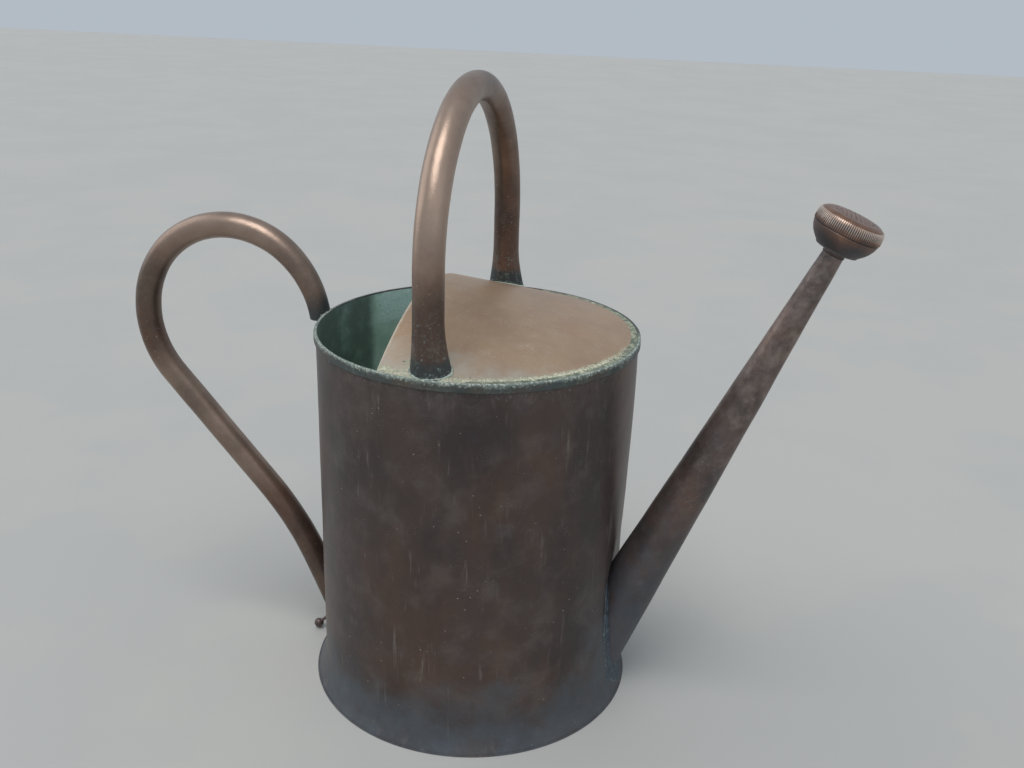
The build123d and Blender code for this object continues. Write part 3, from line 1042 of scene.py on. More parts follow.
@dataclass
class Tank(Maker):
    """Round tank: seamed wall with a flared foot, folded rim band and clinched bottom."""

    radius: float = 120.0 * MM
    sheet: float = 1.0 * MM
    rim_height: float = 291.0 * MM
    flare_height: float = 26.0 * MM
    flare_bend: float = 50.0 * MM
    band_height: float = 6.6 * MM
    band_thickness: float = 1.4 * MM
    band_round: float = 0.9 * MM
    band_segments: int = 420
    seam_angle: float = math.radians(125.0)
    seam_width: float = 12.0 * MM
    seam_step: float = 0.8 * MM
    inlet_radius: float = 15.0 * MM
    inlet_height: float = 64.2 * MM
    inlet_reach: float = 10.0 * MM
    pan_recess: float = 7.0 * MM
    pan_lip: float = 1.5 * MM
    pan_flat: float = 60.0 * MM
    pan_row: float = 1.5 * MM
    cutter_inset: float = 0.25 * MM
    row: float = 4.0 * MM
    foot_row: float = 2.0 * MM
    segments: int = 300
    beating: Wave = Wave(0.45 * MM, 85.0 * MM, 0.10 * MM, 26.0 * MM)
    foot_calm: Fade = Fade(4.0 * MM, 30.0 * MM)
    rim_calm: float = 25.0 * MM
    # Angles over which the painted shade at the rear of the inside comes in
    rear_turn: Fade = Fade(math.radians(147.0), math.radians(156.0))
    # Pale crust near the top of the inside, partly a painted patch of light
    inner_crust: Fade = Fade(38.0 * MM, 24.0 * MM, 0.62)
    under_rim: Fade = Fade(26.0 * MM, 8.0 * MM, 0.34)
    foot_crust: Fade = Fade(16.0 * MM, 0.0, 0.30)
    # Strength of the painted shade at the rear of the inside
    rear_bloom: float = 0.75
    least_bloom: float = 0.18
    foot_bloom: Fade = Fade(70.0 * MM, 8.0 * MM, 0.50)
    bloom_rise: float = 24.0 * MM
    bloom_size: float = 32.0 * MM
    spout_turn: Fade = Fade(0.75, 0.25)
    spout_bloom: Fade = Fade(150.0 * MM, 30.0 * MM, 0.50)
    band_waves: Wave = Wave(0.14 * MM, 14.0 * MM, 0.08 * MM, 5.0 * MM)
    band_least: float = 0.30
    band_crust: Fade = Fade(2.4 * MM, 0.0, 0.42)
    band_back: Fade = Fade(-10.0 * MM, 60.0 * MM, 0.75)
    band_patch: float = 0.18
    band_patch_size: float = 30.0 * MM
    band_bloom: float = 0.60
    band_bloom_patch: float = 0.40
    band_bloom_size: float = 22.0 * MM
    base_crust: float = 0.26
    base_bloom: float = 0.62
    dents: tuple[Dent, ...] = (
        Dent(math.radians(-100), 0.200, 26 * MM, 22 * MM, 0.7 * MM),
        Dent(math.radians(-60), 0.090, 30 * MM, 34 * MM, 0.6 * MM),
        Dent(math.radians(170), 0.150, 34 * MM, 30 * MM, 1.0 * MM),
        Dent(math.radians(80), 0.110, 28 * MM, 40 * MM, 0.9 * MM),
    )
    fold: Fold = Fold()

    @property
    def wall_top(self) -> float:
        """Top of the wall, under the band's fold."""
        return self.rim_height - self.sheet

    @property
    def band_low(self) -> float:
        """Lower edge of the band."""
        return self.rim_height - self.band_height

    @property
    def band_radius(self) -> float:
        """Radius of the band's outside."""
        return self.radius + self.band_thickness

    def flare(self, height: float, bend: float) -> float:
        """Radius of the wall at a height, on a foot of the given bend."""
        drop = max(self.flare_height - height, 0.0)
        return self.radius + self.flare_bend - math.sqrt(bend**2 - drop**2)

    def flared(self, heights: Iterable[float], bend: float) -> Profile:
        """Profile of the wall at some heights, on a foot of the given bend."""
        return [(self.flare(height, bend), height) for height in heights]

    def beat(self, angle: float, height: float) -> float:
        """How far the hand-beaten wall stands off its true radius.

        Args:
            angle: Angle of a point of the wall.
            height: Height of the point.

        Returns:
            The distance, outwards.
        """
        spot = polar(self.radius, angle, height)
        calm = smooth_step(self.wall_top, self.wall_top - self.rim_calm, height)
        knock = sum(dent.push(angle, height, self.radius) for dent in self.dents)
        beaten = self.foot_calm.at(height) * calm * (self.beating.at(spot) - knock)
        return beaten - self.fold.push(angle, height)

    def wall_radius(self, angle: float, height: float) -> float:
        """Radius of the beaten wall's outside at an angle and height."""
        return self.flare(height, self.flare_bend) + self.beat(angle, height)

    def wall_angles(self) -> list[float]:
        """Angles of the wall's rings, with extra ones at the seam's edges.

        Returns:
            The angles, in order.
        """
        half_step = 0.2 * MM / self.radius
        edges = [self.seam_angle, self.seam_angle + self.seam_width / self.radius]
        extra = [edge + side * half_step for edge in edges for side in (-1, 1)]
        return sorted(even_angles(self.segments) + extra)

    def build_wall(self) -> None:
        """Make the wall: outside and inside skins, seam and outlet."""
        heights = steps(self.sheet, self.flare_height, self.foot_row)
        heights += steps(self.flare_height, self.wall_top, self.row)[1:]
        outside = self.flared(heights, self.flare_bend)
        inside = self.flared(reversed(heights), self.flare_bend + self.sheet)
        seam_end = self.seam_angle + self.seam_width / self.radius

        def swell(angle: float, height: float, row: int) -> float:
            """Beat the sheet and lap its seam, on the outside alone."""
            in_seam = self.seam_angle < angle < seam_end and self.flare_height < height < self.band_low
            return self.beat(angle, height) + (self.seam_step if row < len(outside) and in_seam else 0.0)

        wall = turn_piece(
            "tank_wall", outside + inside, self.wall_angles(), swell=swell, closed_loft=True
        )
        outlet = turn_piece(
            "outlet_drill",
            [(self.inlet_radius, self.radius + side * self.inlet_reach) for side in (-1, 1)],
            even_angles(48),
            Matrix.Translation((0, 0, self.inlet_height)) @ Matrix.Rotation(math.pi / 2, 4, "Y"),
        )
        cut_away(wall, [outlet])
        discard(outlet)
        marks = {Mark.CRUST: self.crust_rule, Mark.BLOOM: self.bloom_rule}
        self.seat(wall, "can", "tank_copper", ["tank", "inside"], ["body_wall"], marks)
        for face in wall.data.polygons:
            face.material_index = int(self.is_inner(face.center))

    def is_inner(self, spot: Vector) -> bool:
        """Whether a point of the wall is on its inside."""
        middle = self.wall_radius(math.atan2(spot.y, spot.x), spot.z) - self.sheet / 2
        return math.hypot(spot.x, spot.y) < middle

    def rear(self, spot: Vector) -> float:
        """How near a point is to the rear of the tank, from 0 to 1, which inside is where the painted shade
        lies.
        """
        return self.rear_turn.at(abs(math.atan2(spot.y, spot.x)))

    def crust_rule(self, spot: Vector) -> float:
        """Crust gathers under the rim, at the foot and above the water line inside, where it is also a
        painted patch of light kept out of the painted shade at the rear.

        Args:
            spot: A point of the wall.

        Returns:
            The level of the crust.
        """
        below_rim = self.rim_height - spot.z
        if self.is_inner(spot):
            return self.inner_crust.at(below_rim) * (1 - self.rear(spot))
        return max(self.under_rim.at(below_rim), self.foot_crust.at(spot.z))

    def bloom_rule(self, spot: Vector) -> float:
        """A grey-blue bloom rises from the foot and the spout's side; the dark at the rear of the inside is
        painted shade.

        Args:
            spot: A point of the wall.

        Returns:
            The level of the bloom.
        """
        if self.is_inner(spot):
            return self.rear_bloom * self.rear(spot)
        low = self.foot_bloom.at(spot.z + self.bloom_rise * lumps(spot, self.bloom_size))
        side = self.spout_turn.at(abs(math.atan2(spot.y, spot.x))) * self.spout_bloom.at(spot.z)
        return self.least_bloom + max(low, side)

    def build_rim(self) -> None:
        """Make the folded band round the top edge."""
        low, top, outer, corner = self.band_low, self.rim_height, self.band_radius, self.band_round
        inner = self.radius - self.sheet
        bevel = 0.5 * MM
        lip = 0.4 * MM
        profile = [(self.radius, low), (outer - bevel, low), (outer, low + bevel), (outer, low + 3 * MM)]
        for t in steps(0.0, math.pi / 2, math.pi / 10):
            profile.append((outer - corner * (1 - math.cos(t)), top - corner * (1 - math.sin(t))))
        profile += [(inner + lip, top), (inner, top - lip), (inner, self.wall_top)]
        profile.append((self.radius, self.wall_top))

        def swell(angle: float, height: float, row: int) -> float:
            """Wave the band a little where it was folded by hand."""
            return self.band_waves.at(polar(self.radius, angle, height))

        rim = turn_piece(
            "rim_fold", profile, even_angles(self.band_segments), swell=swell, closed_loft=True
        )
        marks = {Mark.CRUST: self.rim_crust_rule, Mark.BLOOM: self.rim_bloom_rule}
        self.seat(rim, "can", "rim_copper", ["rim"], ["rim_band"], marks)

    def rim_crust_rule(self, spot: Vector) -> float:
        """Crust lies along the band's top, in longer and shorter stretches, most of it in front.

        Args:
            spot: A point of the band.

        Returns:
            The level of the crust.
        """
        along_top = self.band_least + self.band_crust.at(self.rim_height - spot.z)
        front = 1 - self.band_back.at(spot.y)
        return along_top * front + self.band_patch * lumps(spot, self.band_patch_size)

    def rim_bloom_rule(self, spot: Vector) -> float:
        """A grey bloom lies on the band in patches."""
        return self.band_bloom + self.band_bloom_patch * lumps(spot, self.band_bloom_size)

    def build_base(self) -> None:
        """Make the recessed bottom, whose edge is turned up round the wall's foot."""
        bend, sheet = self.flare_bend, self.sheet
        pan_top = self.pan_recess + sheet
        profile = [(0.0, self.pan_recess), (self.pan_flat, self.pan_recess)]
        profile += self.flared(steps(self.pan_recess, 0.3 * MM, self.pan_row), bend + 2 * sheet)
        profile += [(self.flare(0.0, bend + 0.5 * sheet), 0.0), (self.flare(0.0, bend), 0.0)]
        profile += self.flared(steps(0.35 * MM, self.pan_lip, 0.6 * MM), bend - 0.6 * sheet)
        profile += self.flared((self.pan_lip, sheet), bend)
        profile += self.flared(steps(sheet, pan_top, self.pan_row), bend + sheet)
        profile += [(self.pan_flat, pan_top), (0.0, pan_top)]
        base = turn_piece("tank_bottom", profile, even_angles(self.segments))
        marks = {Mark.CRUST: lambda p: self.base_crust, Mark.BLOOM: lambda p: self.base_bloom}
        self.seat(base, "can", "tank_copper", ["tank"], ["base_pan"], marks)

    def make_cutter(self) -> bpy.types.Object:
        """Make the filled tank that tubes are cut to, a little inside the beaten wall.

        Returns:
            The cutter's object.
        """
        outer = self.band_radius - self.cutter_inset
        heights = steps(0.0, self.flare_height, 2 * MM) + steps(self.flare_height, self.band_low, 5 * MM)[1:]
        profile = [(wide - self.cutter_inset, high) for wide, high in self.flared(heights, self.flare_bend)]
        profile += [(outer, self.band_low), (outer, self.rim_height)]

        def swell(angle: float, height: float, row: int) -> float:
            """Follow the beaten wall up to the band."""
            return self.beat(angle, height) if row < len(heights) else 0.0

        return turn_piece("tank_cutter", profile, even_angles(self.segments), swell=swell)

    def build(self) -> None:
        """Make and dress the whole tank."""
        self.build_wall()
        self.build_rim()
        self.build_base()
        self.dress_node("base_solder", "solder")


@dataclass
class Cover(Maker):
    """Arched half cover: part of an oblique cone over the rim, with a hemmed free edge."""

    radius: float = 119.0 * MM
    base: float = 290.0 * MM
    edge_x: float = -38.0 * MM
    rise: float = 33.0 * MM
    sheet: float = 1.0 * MM
    hem: float = 6.0 * MM
    hem_nose: tuple[tuple[float, float], ...] = ((-0.35, 0.4), (-0.5, 1.0), (-0.2, 1.8))
    flange: float = 6.0 * MM
    end_turn: float = math.radians(87.0)
    beating: Wave = Wave(0.55 * MM, 60.0 * MM, 0.12 * MM, 18.0 * MM)
    edge_calm: Fade = Fade(1.0, 0.9)
    joint_edge: Fade = Fade(0.88, 0.975)
    joint_least: float = 0.30
    spout_side: Fade = Fade(-30.0 * MM, 70.0 * MM, 0.42)
    front_side: Fade = Fade(40.0 * MM, -60.0 * MM)
    front_edge: Fade = Fade(-75.0 * MM, -110.0 * MM, 0.30)
    foot_crust: Fade = Fade(26.0 * MM, 14.0 * MM, 0.5)
    least_bloom: float = 0.10
    front_bloom: Fade = Fade(-60.0 * MM, -112.0 * MM, 0.55)
    least_rub: float = 0.2
    hem_rub: Fade = Fade(1.5 * MM, 0.0, 0.7)
    rows: int = 110
    columns: int = 72
    foot_x: float = -5.0 * MM
    foot_y: float = 108.0 * MM
    lump_density: float = 1.0 / MM**2
    clump_size: float = 9.0 * MM
    smallest_lump: Axes = (0.3 * MM, 0.3 * MM, 0.2 * MM)
    largest_lump: Axes = (1.2 * MM, 1.2 * MM, 0.5 * MM)
    seed: int = 7

    @property
    def apex_rise(self) -> float:
        """Height of the cone's apex over the rim."""
        return self.rise / (1 - (self.edge_x + self.radius) / (2 * self.radius))

    def height(self, x: float, y: float) -> float:
        """Height of the cone's outer face."""
        share = (self.radius**2 - x * x - y * y) / (2 * self.radius * (self.radius + x))
        return self.base + self.apex_rise * share

    def beaten(self, x: float, y: float, drop: float = 0.0) -> Vector:
        """Point of the beaten sheet.

        Args:
            x: Place of the point towards the spout.
            y: Place of the point across the can.
            drop: How far the point is below the outer face.

        Returns:
            The point.
        """
        spot = Vector((x, y, 0.0))
        off = self.edge_calm.at(math.hypot(x, y) / self.radius) * self.beating.at(spot)
        return Vector((x, y, self.height(x, y) + off - drop))

    def skirt(self, rim_x: float, y: float) -> Ring:
        """Section of the flange that drops into the tank.

        Args:
            rim_x: Place of the flange towards the spout.
            y: Place of the flange across the can.

        Returns:
            Its points, from outside to inside.
        """
        inner = 1 - self.sheet / self.radius
        low = self.base - self.flange
        return [
            Vector((rim_x, y, low)),
            Vector((rim_x * inner, y * inner, low)),
            Vector((rim_x * inner, y * inner, self.base - self.sheet)),
        ]

    def section(self, y: float) -> Ring:
        """Closed section of the sheet: over the top, round the free edge or flange, and back.

        Args:
            y: Place of the section across the can.

        Returns:
            Its points.
        """
        rim_x = math.sqrt(max(self.radius**2 - y * y, 0.0))
        hemmed = -rim_x < self.edge_x
        left = self.edge_x if hemmed else -rim_x
        across = steps(rim_x, left, (rim_x - left) / self.columns)
        top = [self.beaten(x, y) for x in across]
        under = []
        for x in reversed(across[1:-1]):
            under.append(self.beaten(x, y, self.sheet * (2 if hemmed and x < left + self.hem else 1)))
        edge = self.skirt(left, y)
        if hemmed:
            edge = [top[-1] + self.sheet * Vector((out, 0, -down)) for out, down in self.hem_nose]
        return top + edge + under + list(reversed(self.skirt(rim_x, y)))

    def build_sheet(self) -> bpy.types.Object:
        """Make the cover's sheet.

        Returns:
            The sheet's object.
        """
        half_turn = math.acos(-self.edge_x / self.radius)
        ends = steps(half_turn, self.end_turn, math.radians(2.0))
        middle = steps(-half_turn, half_turn, math.pi / self.rows)[1:-1]
        turns = [-t for t in reversed(ends)] + middle + ends
        rings = [self.section(self.radius * math.sin(t)) for t in turns]
        sheet = skin_piece("cover_sheet", rings, crease_degrees=50.0)
        marks = {Mark.CRUST: self.crust_rule, Mark.BLOOM: self.bloom_rule, Mark.RUB: self.rub_rule}
        self.seat(sheet, "can", "cover_copper", ["cover"], ["top_cover"], marks)
        return sheet

    def crust_rule(self, spot: Vector) -> float:
        """Crust follows the rim, thickest on the spout's side, and gathers at the hoop's feet.

        Args:
            spot: A point of the sheet.

        Returns:
            The level of the crust.
        """
        side = self.spout_side.at(spot.x) * self.front_side.at(spot.y)
        level = self.joint_least + max(side, self.front_edge.at(spot.y))
        edge = self.joint_edge.at(math.hypot(spot.x, spot.y) / self.radius) * level
        from_foot = math.hypot(spot.x - self.foot_x, abs(spot.y) - self.foot_y)
        return max(edge, self.foot_crust.at(from_foot))

    def bloom_rule(self, spot: Vector) -> float:
        """A grey bloom lies along the front of the rim."""
        return self.least_bloom + self.front_bloom.at(spot.y)

    def rub_rule(self, spot: Vector) -> float:
        """The free edge is rubbed bright."""
        return self.hem_rub.at(spot.x - self.edge_x) + self.least_rub

    def build_crust(self, sheet: bpy.types.Object) -> None:
        """Grow the crust of solder and verdigris: flat lumps where the sheet's crust mark is high.

        Args:
            sheet: The cover's sheet.
        """
        recipe = Recipe(
            "crust_on_sheet",
            {
                "Density": self.lump_density,
                "Clump Size": self.clump_size,
                "Smallest": self.smallest_lump,
                "Largest": self.largest_lump,
                "Seed": self.seed,
                "Material": self.materials["crust"],
            },
        )
        add, given = recipe.add, recipe.given
        mark = add("GeometryNodeInputNamedAttribute", {"Name": Mark.CRUST.value}, data_type="FLOAT")
        scale = add("ShaderNodeMath", {0: 1.0, 1: given["Clump Size"]}, operation="DIVIDE")
        cloud = add("ShaderNodeTexNoise", {"Scale": scale.outputs[0], "Detail": 2.0})
        both = add("ShaderNodeMath", {0: mark.outputs[0], 1: cloud.outputs[0]}, operation="ADD")
        share = add("ShaderNodeMapRange", {"Value": both.outputs[0], "From Min": 1.0, "From Max": 1.25})
        density = add("ShaderNodeMath", {0: share.outputs[0], 1: given["Density"]}, operation="MULTIPLY")
        points = add(
            "GeometryNodeDistributePointsOnFaces",
            {"Mesh": given["Start"], "Density": density.outputs[0], "Seed": given["Seed"]},
        )
        size = add(
            "FunctionNodeRandomValue",
            {0: given["Smallest"], 1: given["Largest"], "Seed": given["Seed"]},
            data_type="FLOAT_VECTOR",
        )
        lump = add("GeometryNodeMeshUVSphere", {"Segments": 7, "Rings": 5, "Radius": 1.0})
        placed = add(
            "GeometryNodeInstanceOnPoints",
            {
                "Points": points.outputs["Points"],
                "Instance": lump.outputs[0],
                "Rotation": points.outputs["Rotation"],
                "Scale": size.outputs[0],
            },
        )
        start = link_object("cover_sheet_copy", sheet.data.copy())
        crust = recipe.grow("cover_joint_crust", placed.outputs[0], None, start)
        self.seat(crust, "can", "solder", ["crust"])

    def build(self) -> None:
        """Make and dress the cover."""
        sheet = self.build_sheet()
        self.dress_node("cover_solder", "crust")
        self.build_crust(sheet)


@dataclass
class Hoop(Maker):
    """Bent tube over the top, with feet splayed to stand on the cover."""

    cover: Cover
    x: float = -5.4 * MM
    turn: float = math.radians(0.85)
    half_width: float = 108.0 * MM
    leg_top: float = 357.0 * MM
    foot_top: float = 328.0 * MM
    foot_low: float = 293.0 * MM
    tube_radius: float = 10.5 * MM
    toe_flare: float = 6.0 * MM
    heel_flares: tuple[float, float] = (1.7 * MM, 3.3 * MM)
    flare_power: float = 1.8
    knock_depth: float = 0.14 * MM
    knock_size: float = 24.0 * MM
    leg_row: float = 4.0 * MM
    arch_step: float = math.radians(2.5)
    skirt: Fade = Fade(18.0 * MM, 5.0 * MM)
    skirt_least: float = 0.72
    skirt_back: Fade = Fade(-60.0 * MM, 60.0 * MM, 0.18)
    smoke_depth: float = 4.0 * MM
    smoke_size: float = 9.0 * MM
    rub_least: float = 0.08
    rub_held: float = 0.24
    # Painted highlight on the front shoulder, laid with the rubbed coat
    rub_front: Fade = Fade(40.0 * MM, -70.0 * MM, 0.40)
    rub_reach: float = 30.0 * MM
    leg_smudges: Fade = Fade(377.0 * MM, 313.0 * MM, 0.36)
    foot_crust: Fade = Fade(6.0 * MM, 0.5 * MM, 0.50)
    chalk_least: float = 0.55
    chalk_back: Fade = Fade(-1.0 * MM, 1.0 * MM, 0.25)
    bead: SolderBead = SolderBead(1.1 * MM)
    sides: int = 48

    @property
    def place(self) -> Matrix:
        """Where the hoop's own plane stands on the can."""
        return Matrix.Translation((self.x, 0, 0)) @ Matrix.Rotation(self.turn, 4, "Z")

    def foot_point(self, side: int, angle: float, height: float) -> Vector:
        """Point of a foot's side; the toe is on the spout's side.

        Args:
            side: -1 for the front foot and 1 for the back one.
            angle: Angle of the point about the leg.
            height: Height of the point.

        Returns:
            The point.
        """
        share = max((self.foot_top - height) / (self.foot_top - self.foot_low), 0.0)
        flare = self.toe_flare if math.cos(angle) > 0 else self.heel_flares[side > 0]
        x = (self.tube_radius + flare * share**self.flare_power) * math.cos(angle)
        y = side * (self.half_width + self.tube_radius * math.sin(angle))
        return self.place @ Vector((x, y, height))

    def foot_rings(self, side: int) -> list[Ring]:
        """Rings of a foot, from its top down to the cover.

        Args:
            side: -1 for the front foot and 1 for the back one.

        Returns:
            The rings.
        """
        angles = even_angles(self.sides)
        base = []
        for angle in angles:
            height = self.foot_top
            for _ in range(6):
                spot = self.foot_point(side, angle, height)
                height = self.cover.height(spot.x, spot.y)
            base.append(height)
        rings = []
        for share in steps(0.0, 1.0, 0.06):
            heights = [self.foot_top + (low - self.foot_top) * share for low in base]
            rings.append([self.foot_point(side, angle, height) for angle, height in zip(angles, heights)])
        return rings

    def arch_ring(self, y: float, z: float, out_y: float, out_z: float) -> Ring:
        """Ring of the tube about a point of its line.

        Args:
            y: Place of the point across the can.
            z: Height of the point.
            out_y: Way out of the arch, across the can.
            out_z: Way out of the arch, upwards.

        Returns:
            The ring.
        """
        ring = []
        for angle in even_angles(self.sides):
            reach = self.tube_radius * math.sin(angle)
            spot = Vector((self.tube_radius * math.cos(angle), y + out_y * reach, z + out_z * reach))
            ring.append(self.place @ spot)
        return ring

    def above_cover(self, spot: Vector) -> float:
        """Height of a point over the cover."""
        return spot.z - self.cover.height(spot.x, spot.y)

    def skirt_rule(self, spot: Vector) -> float:
        """A dark tarnish skirts the feet, with a smoky upper edge."""
        over = self.above_cover(spot) + self.smoke_depth * lumps(spot, self.smoke_size)
        return (self.skirt_least + self.skirt_back.at(spot.y)) * self.skirt.at(over)

    def rub_rule(self, spot: Vector) -> float:
        """Hands rub the arch bright, and its front shoulder gets a painted highlight as well."""
        held = smooth_step(self.foot_top, self.leg_top + self.rub_reach, spot.z)
        return self.rub_least + held * (self.rub_held + self.rub_front.at(spot.y))

    def crust_rule(self, spot: Vector) -> float:
        """Pale smudges thicken down the legs, and crust sits where the feet meet the cover."""
        return max(self.leg_smudges.at(spot.z), self.foot_crust.at(self.above_cover(spot)))

    def build(self) -> None:
        """Make the hoop and its solder."""
        feet = {"front": self.foot_rings(-1), "back": self.foot_rings(1)}
        rings = list(reversed(feet["front"]))
        for height in steps(self.foot_top, self.leg_top, self.leg_row)[1:]:
            rings.append(self.arch_ring(-self.half_width, height, -1, 0))
        for angle in steps(math.pi, 0.0, self.arch_step)[1:]:
            out_y, out_z = math.cos(angle), math.sin(angle)
            high = self.leg_top + self.half_width * out_z
            rings.append(self.arch_ring(self.half_width * out_y, high, out_y, out_z))
        for height in steps(self.leg_top, self.foot_top, self.leg_row)[1:]:
            rings.append(self.arch_ring(self.half_width, height, 1, 0))
        rings += feet["back"][1:]
        hoop = skin_piece("hoop_tube", rings, crease_degrees=60.0)
        for vertex in hoop.data.vertices:
            vertex.co += vertex.normal * self.knock_depth * lumps(vertex.co, self.knock_size)
        marks = {Mark.RUB: self.rub_rule, Mark.CRUST: self.crust_rule, Mark.BLOOM: self.skirt_rule}
        self.seat(hoop, "can", "tube_copper", ["tube"], ["hoop_handle"], marks)
        chalked = {Mark.CRUST: lambda p: self.chalk_least + self.chalk_back.at(p.y)}
        for foot, foot_rings in feet.items():
            bead = self.bead.run(f"hoop_bead_{foot}", foot_rings[-1])
            self.seat(bead, "can", "solder", ["solder"], [f"hoop_solder_{foot}"], chalked)


@dataclass
class RearHandle(Maker):
    """Bent tube behind: over a loop from the rim, then down past a knee to the foot."""

    tube_radius: float = 10.0 * MM
    loop_x: float = -200.5 * MM
    loop_z: float = 275.0 * MM
    loop_radius: float = 76.5 * MM
    loop_start: float = math.radians(2.0)
    knee_x: float = -153.7 * MM
    knee_z: float = 105.8 * MM
    knee_bend: float = 240.0 * MM
    foot_x: float = -112.0 * MM
    foot_z: float = 11.3 * MM
    top_cut: float = 285.0 * MM
    pinch_depth: float = 4.5 * MM
    pinch_far: float = math.radians(75.0)
    pinch_near: float = math.radians(2.0)
    pinch_below: float = math.radians(-20.0)
    knock_size: float = 22.0 * MM
    knock_depth: float = 0.5 * MM
    least_rub: float = 0.16
    top_rub: float = 0.42
    # Painted sheen on the lower run, laid with the rubbed coat
    low_rub: Fade = Fade(250.0 * MM, 215.0 * MM, 0.30)
    low_end: Fade = Fade(110.0 * MM, 160.0 * MM)
    rim_joint: Fade = Fade(2.2, 0.3)
    foot_joint: Fade = Fade(30.0 * MM, 12.0 * MM)
    crust_level: float = 0.55
    crust_reach: float = 9.0 * MM
    bloom_level: float = 0.75
    bloom_reach: float = 18.0 * MM
    solder: SolderLumps = SolderLumps()
    sides: int = 48

    @property
    def loop_end(self) -> Vector:
        """Where the loop's line comes down to the rim."""
        return Vector((self.loop_x + self.loop_radius, 0, self.top_cut))

    def path(self) -> list[Vector]:
        """Points along the tube's line.

        Returns:
            The points, from the rim to the foot.
        """
        centre = Vector((self.loop_x, 0, self.loop_z))
        knee = Vector((self.knee_x, 0, self.knee_z))
        foot = Vector((self.foot_x, 0, self.foot_z))
        to_knee = knee - centre
        end = math.atan2(to_knee.z, to_knee.x) + math.tau - math.acos(self.loop_radius / to_knee.length)
        points = [
            centre + self.loop_radius * Vector((math.cos(t), 0, math.sin(t)))
            for t in steps(self.loop_start, end, math.radians(2.0))
        ]
        run_in = (knee - points[-1]).normalized()
        run_out = (foot - knee).normalized()
        turn = run_in.angle(run_out)
        trim = self.knee_bend * math.tan(turn / 2)
        start = knee - run_in * trim
        hub = start + self.knee_bend * Vector((run_in.z, 0, -run_in.x))
        arm = start - hub
        points += [points[-1].lerp(start, t) for t in steps(0.0, 1.0, 0.05)[1:]]
        for t in steps(0.0, turn, turn / 16)[1:]:
            points.append(hub + Matrix.Rotation(t, 3, "Y") @ arm)
        points += [points[-1].lerp(foot, t) for t in steps(0.0, 1.0, 0.1)[1:]]
        return points

    def draw_tube(self) -> bpy.types.Object:
        """Draw the tube along its line and knock it about a little.

        Returns:
            The tube's object.
        """
        points = self.path()
        path = bpy.data.meshes.new("rear_handle_line")
        path.from_pydata([tuple(p) for p in points], [(i, i + 1) for i in range(len(points) - 1)], [])
        recipe = Recipe(
            "tube_along_line",
            {
                "Tube Radius": self.tube_radius,
                "Sides": self.sides,
                "Knock Size": self.knock_size,
                "Knock Depth": self.knock_depth,
                "Material": self.materials["tube"],
            },
        )
        add, given = recipe.add, recipe.given
        line = add("GeometryNodeMeshToCurve", {0: given["Start"]})
        ring = add(
            "GeometryNodeCurvePrimitiveCircle",
            {"Resolution": given["Sides"], "Radius": given["Tube Radius"]},
        )
        tube = add(
            "GeometryNodeCurveToMesh",
            {"Curve": line.outputs[0], "Profile Curve": ring.outputs[0], "Fill Caps": True},
        )
        scale = add("ShaderNodeMath", {0: 1.0, 1: given["Knock Size"]}, operation="DIVIDE")
        cloud = add("ShaderNodeTexNoise", {"Scale": scale.outputs[0], "Detail": 2.0})
        lift = add("ShaderNodeMath", {0: cloud.outputs[0], 1: 0.5}, operation="SUBTRACT")
        deep = add("ShaderNodeMath", {0: lift.outputs[0], 1: given["Knock Depth"]}, operation="MULTIPLY")
        way = add("GeometryNodeInputNormal")
        push = add(
            "ShaderNodeVectorMath", {0: way.outputs[0], "Scale": deep.outputs[0]}, operation="SCALE"
        )
        knocked = add("GeometryNodeSetPosition", {0: tube.outputs[0], "Offset": push.outputs[0]})
        start = link_object("rear_handle_line", path)
        return recipe.grow("rear_handle_tube", knocked.outputs[0], None, start)

    def pinch_end(self, handle: bpy.types.Object) -> None:
        """Narrow the tube towards the rim, where it was flattened to meet the band.

        Args:
            handle: The tube.
        """
        for vertex in handle.data.vertices:
            across, up = vertex.co.x - self.loop_x, vertex.co.z - self.loop_z
            reach = math.hypot(across, up)
            turn = math.atan2(up, across)
            in_loop = reach < self.loop_radius + 2 * self.tube_radius
            if in_loop and self.pinch_below < turn < self.pinch_far:
                share = (reach - self.loop_radius + self.tube_radius) / (2 * self.tube_radius)
                pinch = self.pinch_depth * smooth_step(self.pinch_far, self.pinch_near, turn)
                drawn = 1 - pinch * share / reach
                vertex.co.x = self.loop_x + across * drawn
                vertex.co.z = self.loop_z + up * drawn

    def rub_rule(self, spot: Vector) -> float:
        """Hands rub the top of the loop bright, and the lower run gets a painted sheen.

        Args:
            spot: A point of the tube.

        Returns:
            The level of the rubbing.
        """
        top = smooth_step(self.loop_z, self.loop_z + self.loop_radius, spot.z)
        low = self.low_rub.at(spot.z) * self.low_end.at(spot.z)
        return self.least_rub + self.top_rub * top + low

    def joint_rule(self, spot: Vector, reach: float) -> float:
        """Tarnish reaches so far from where the tube meets the tank."""
        rim = self.rim_joint.at((spot - self.loop_end).length / reach)
        return max(rim, self.foot_joint.at(spot.z - reach))

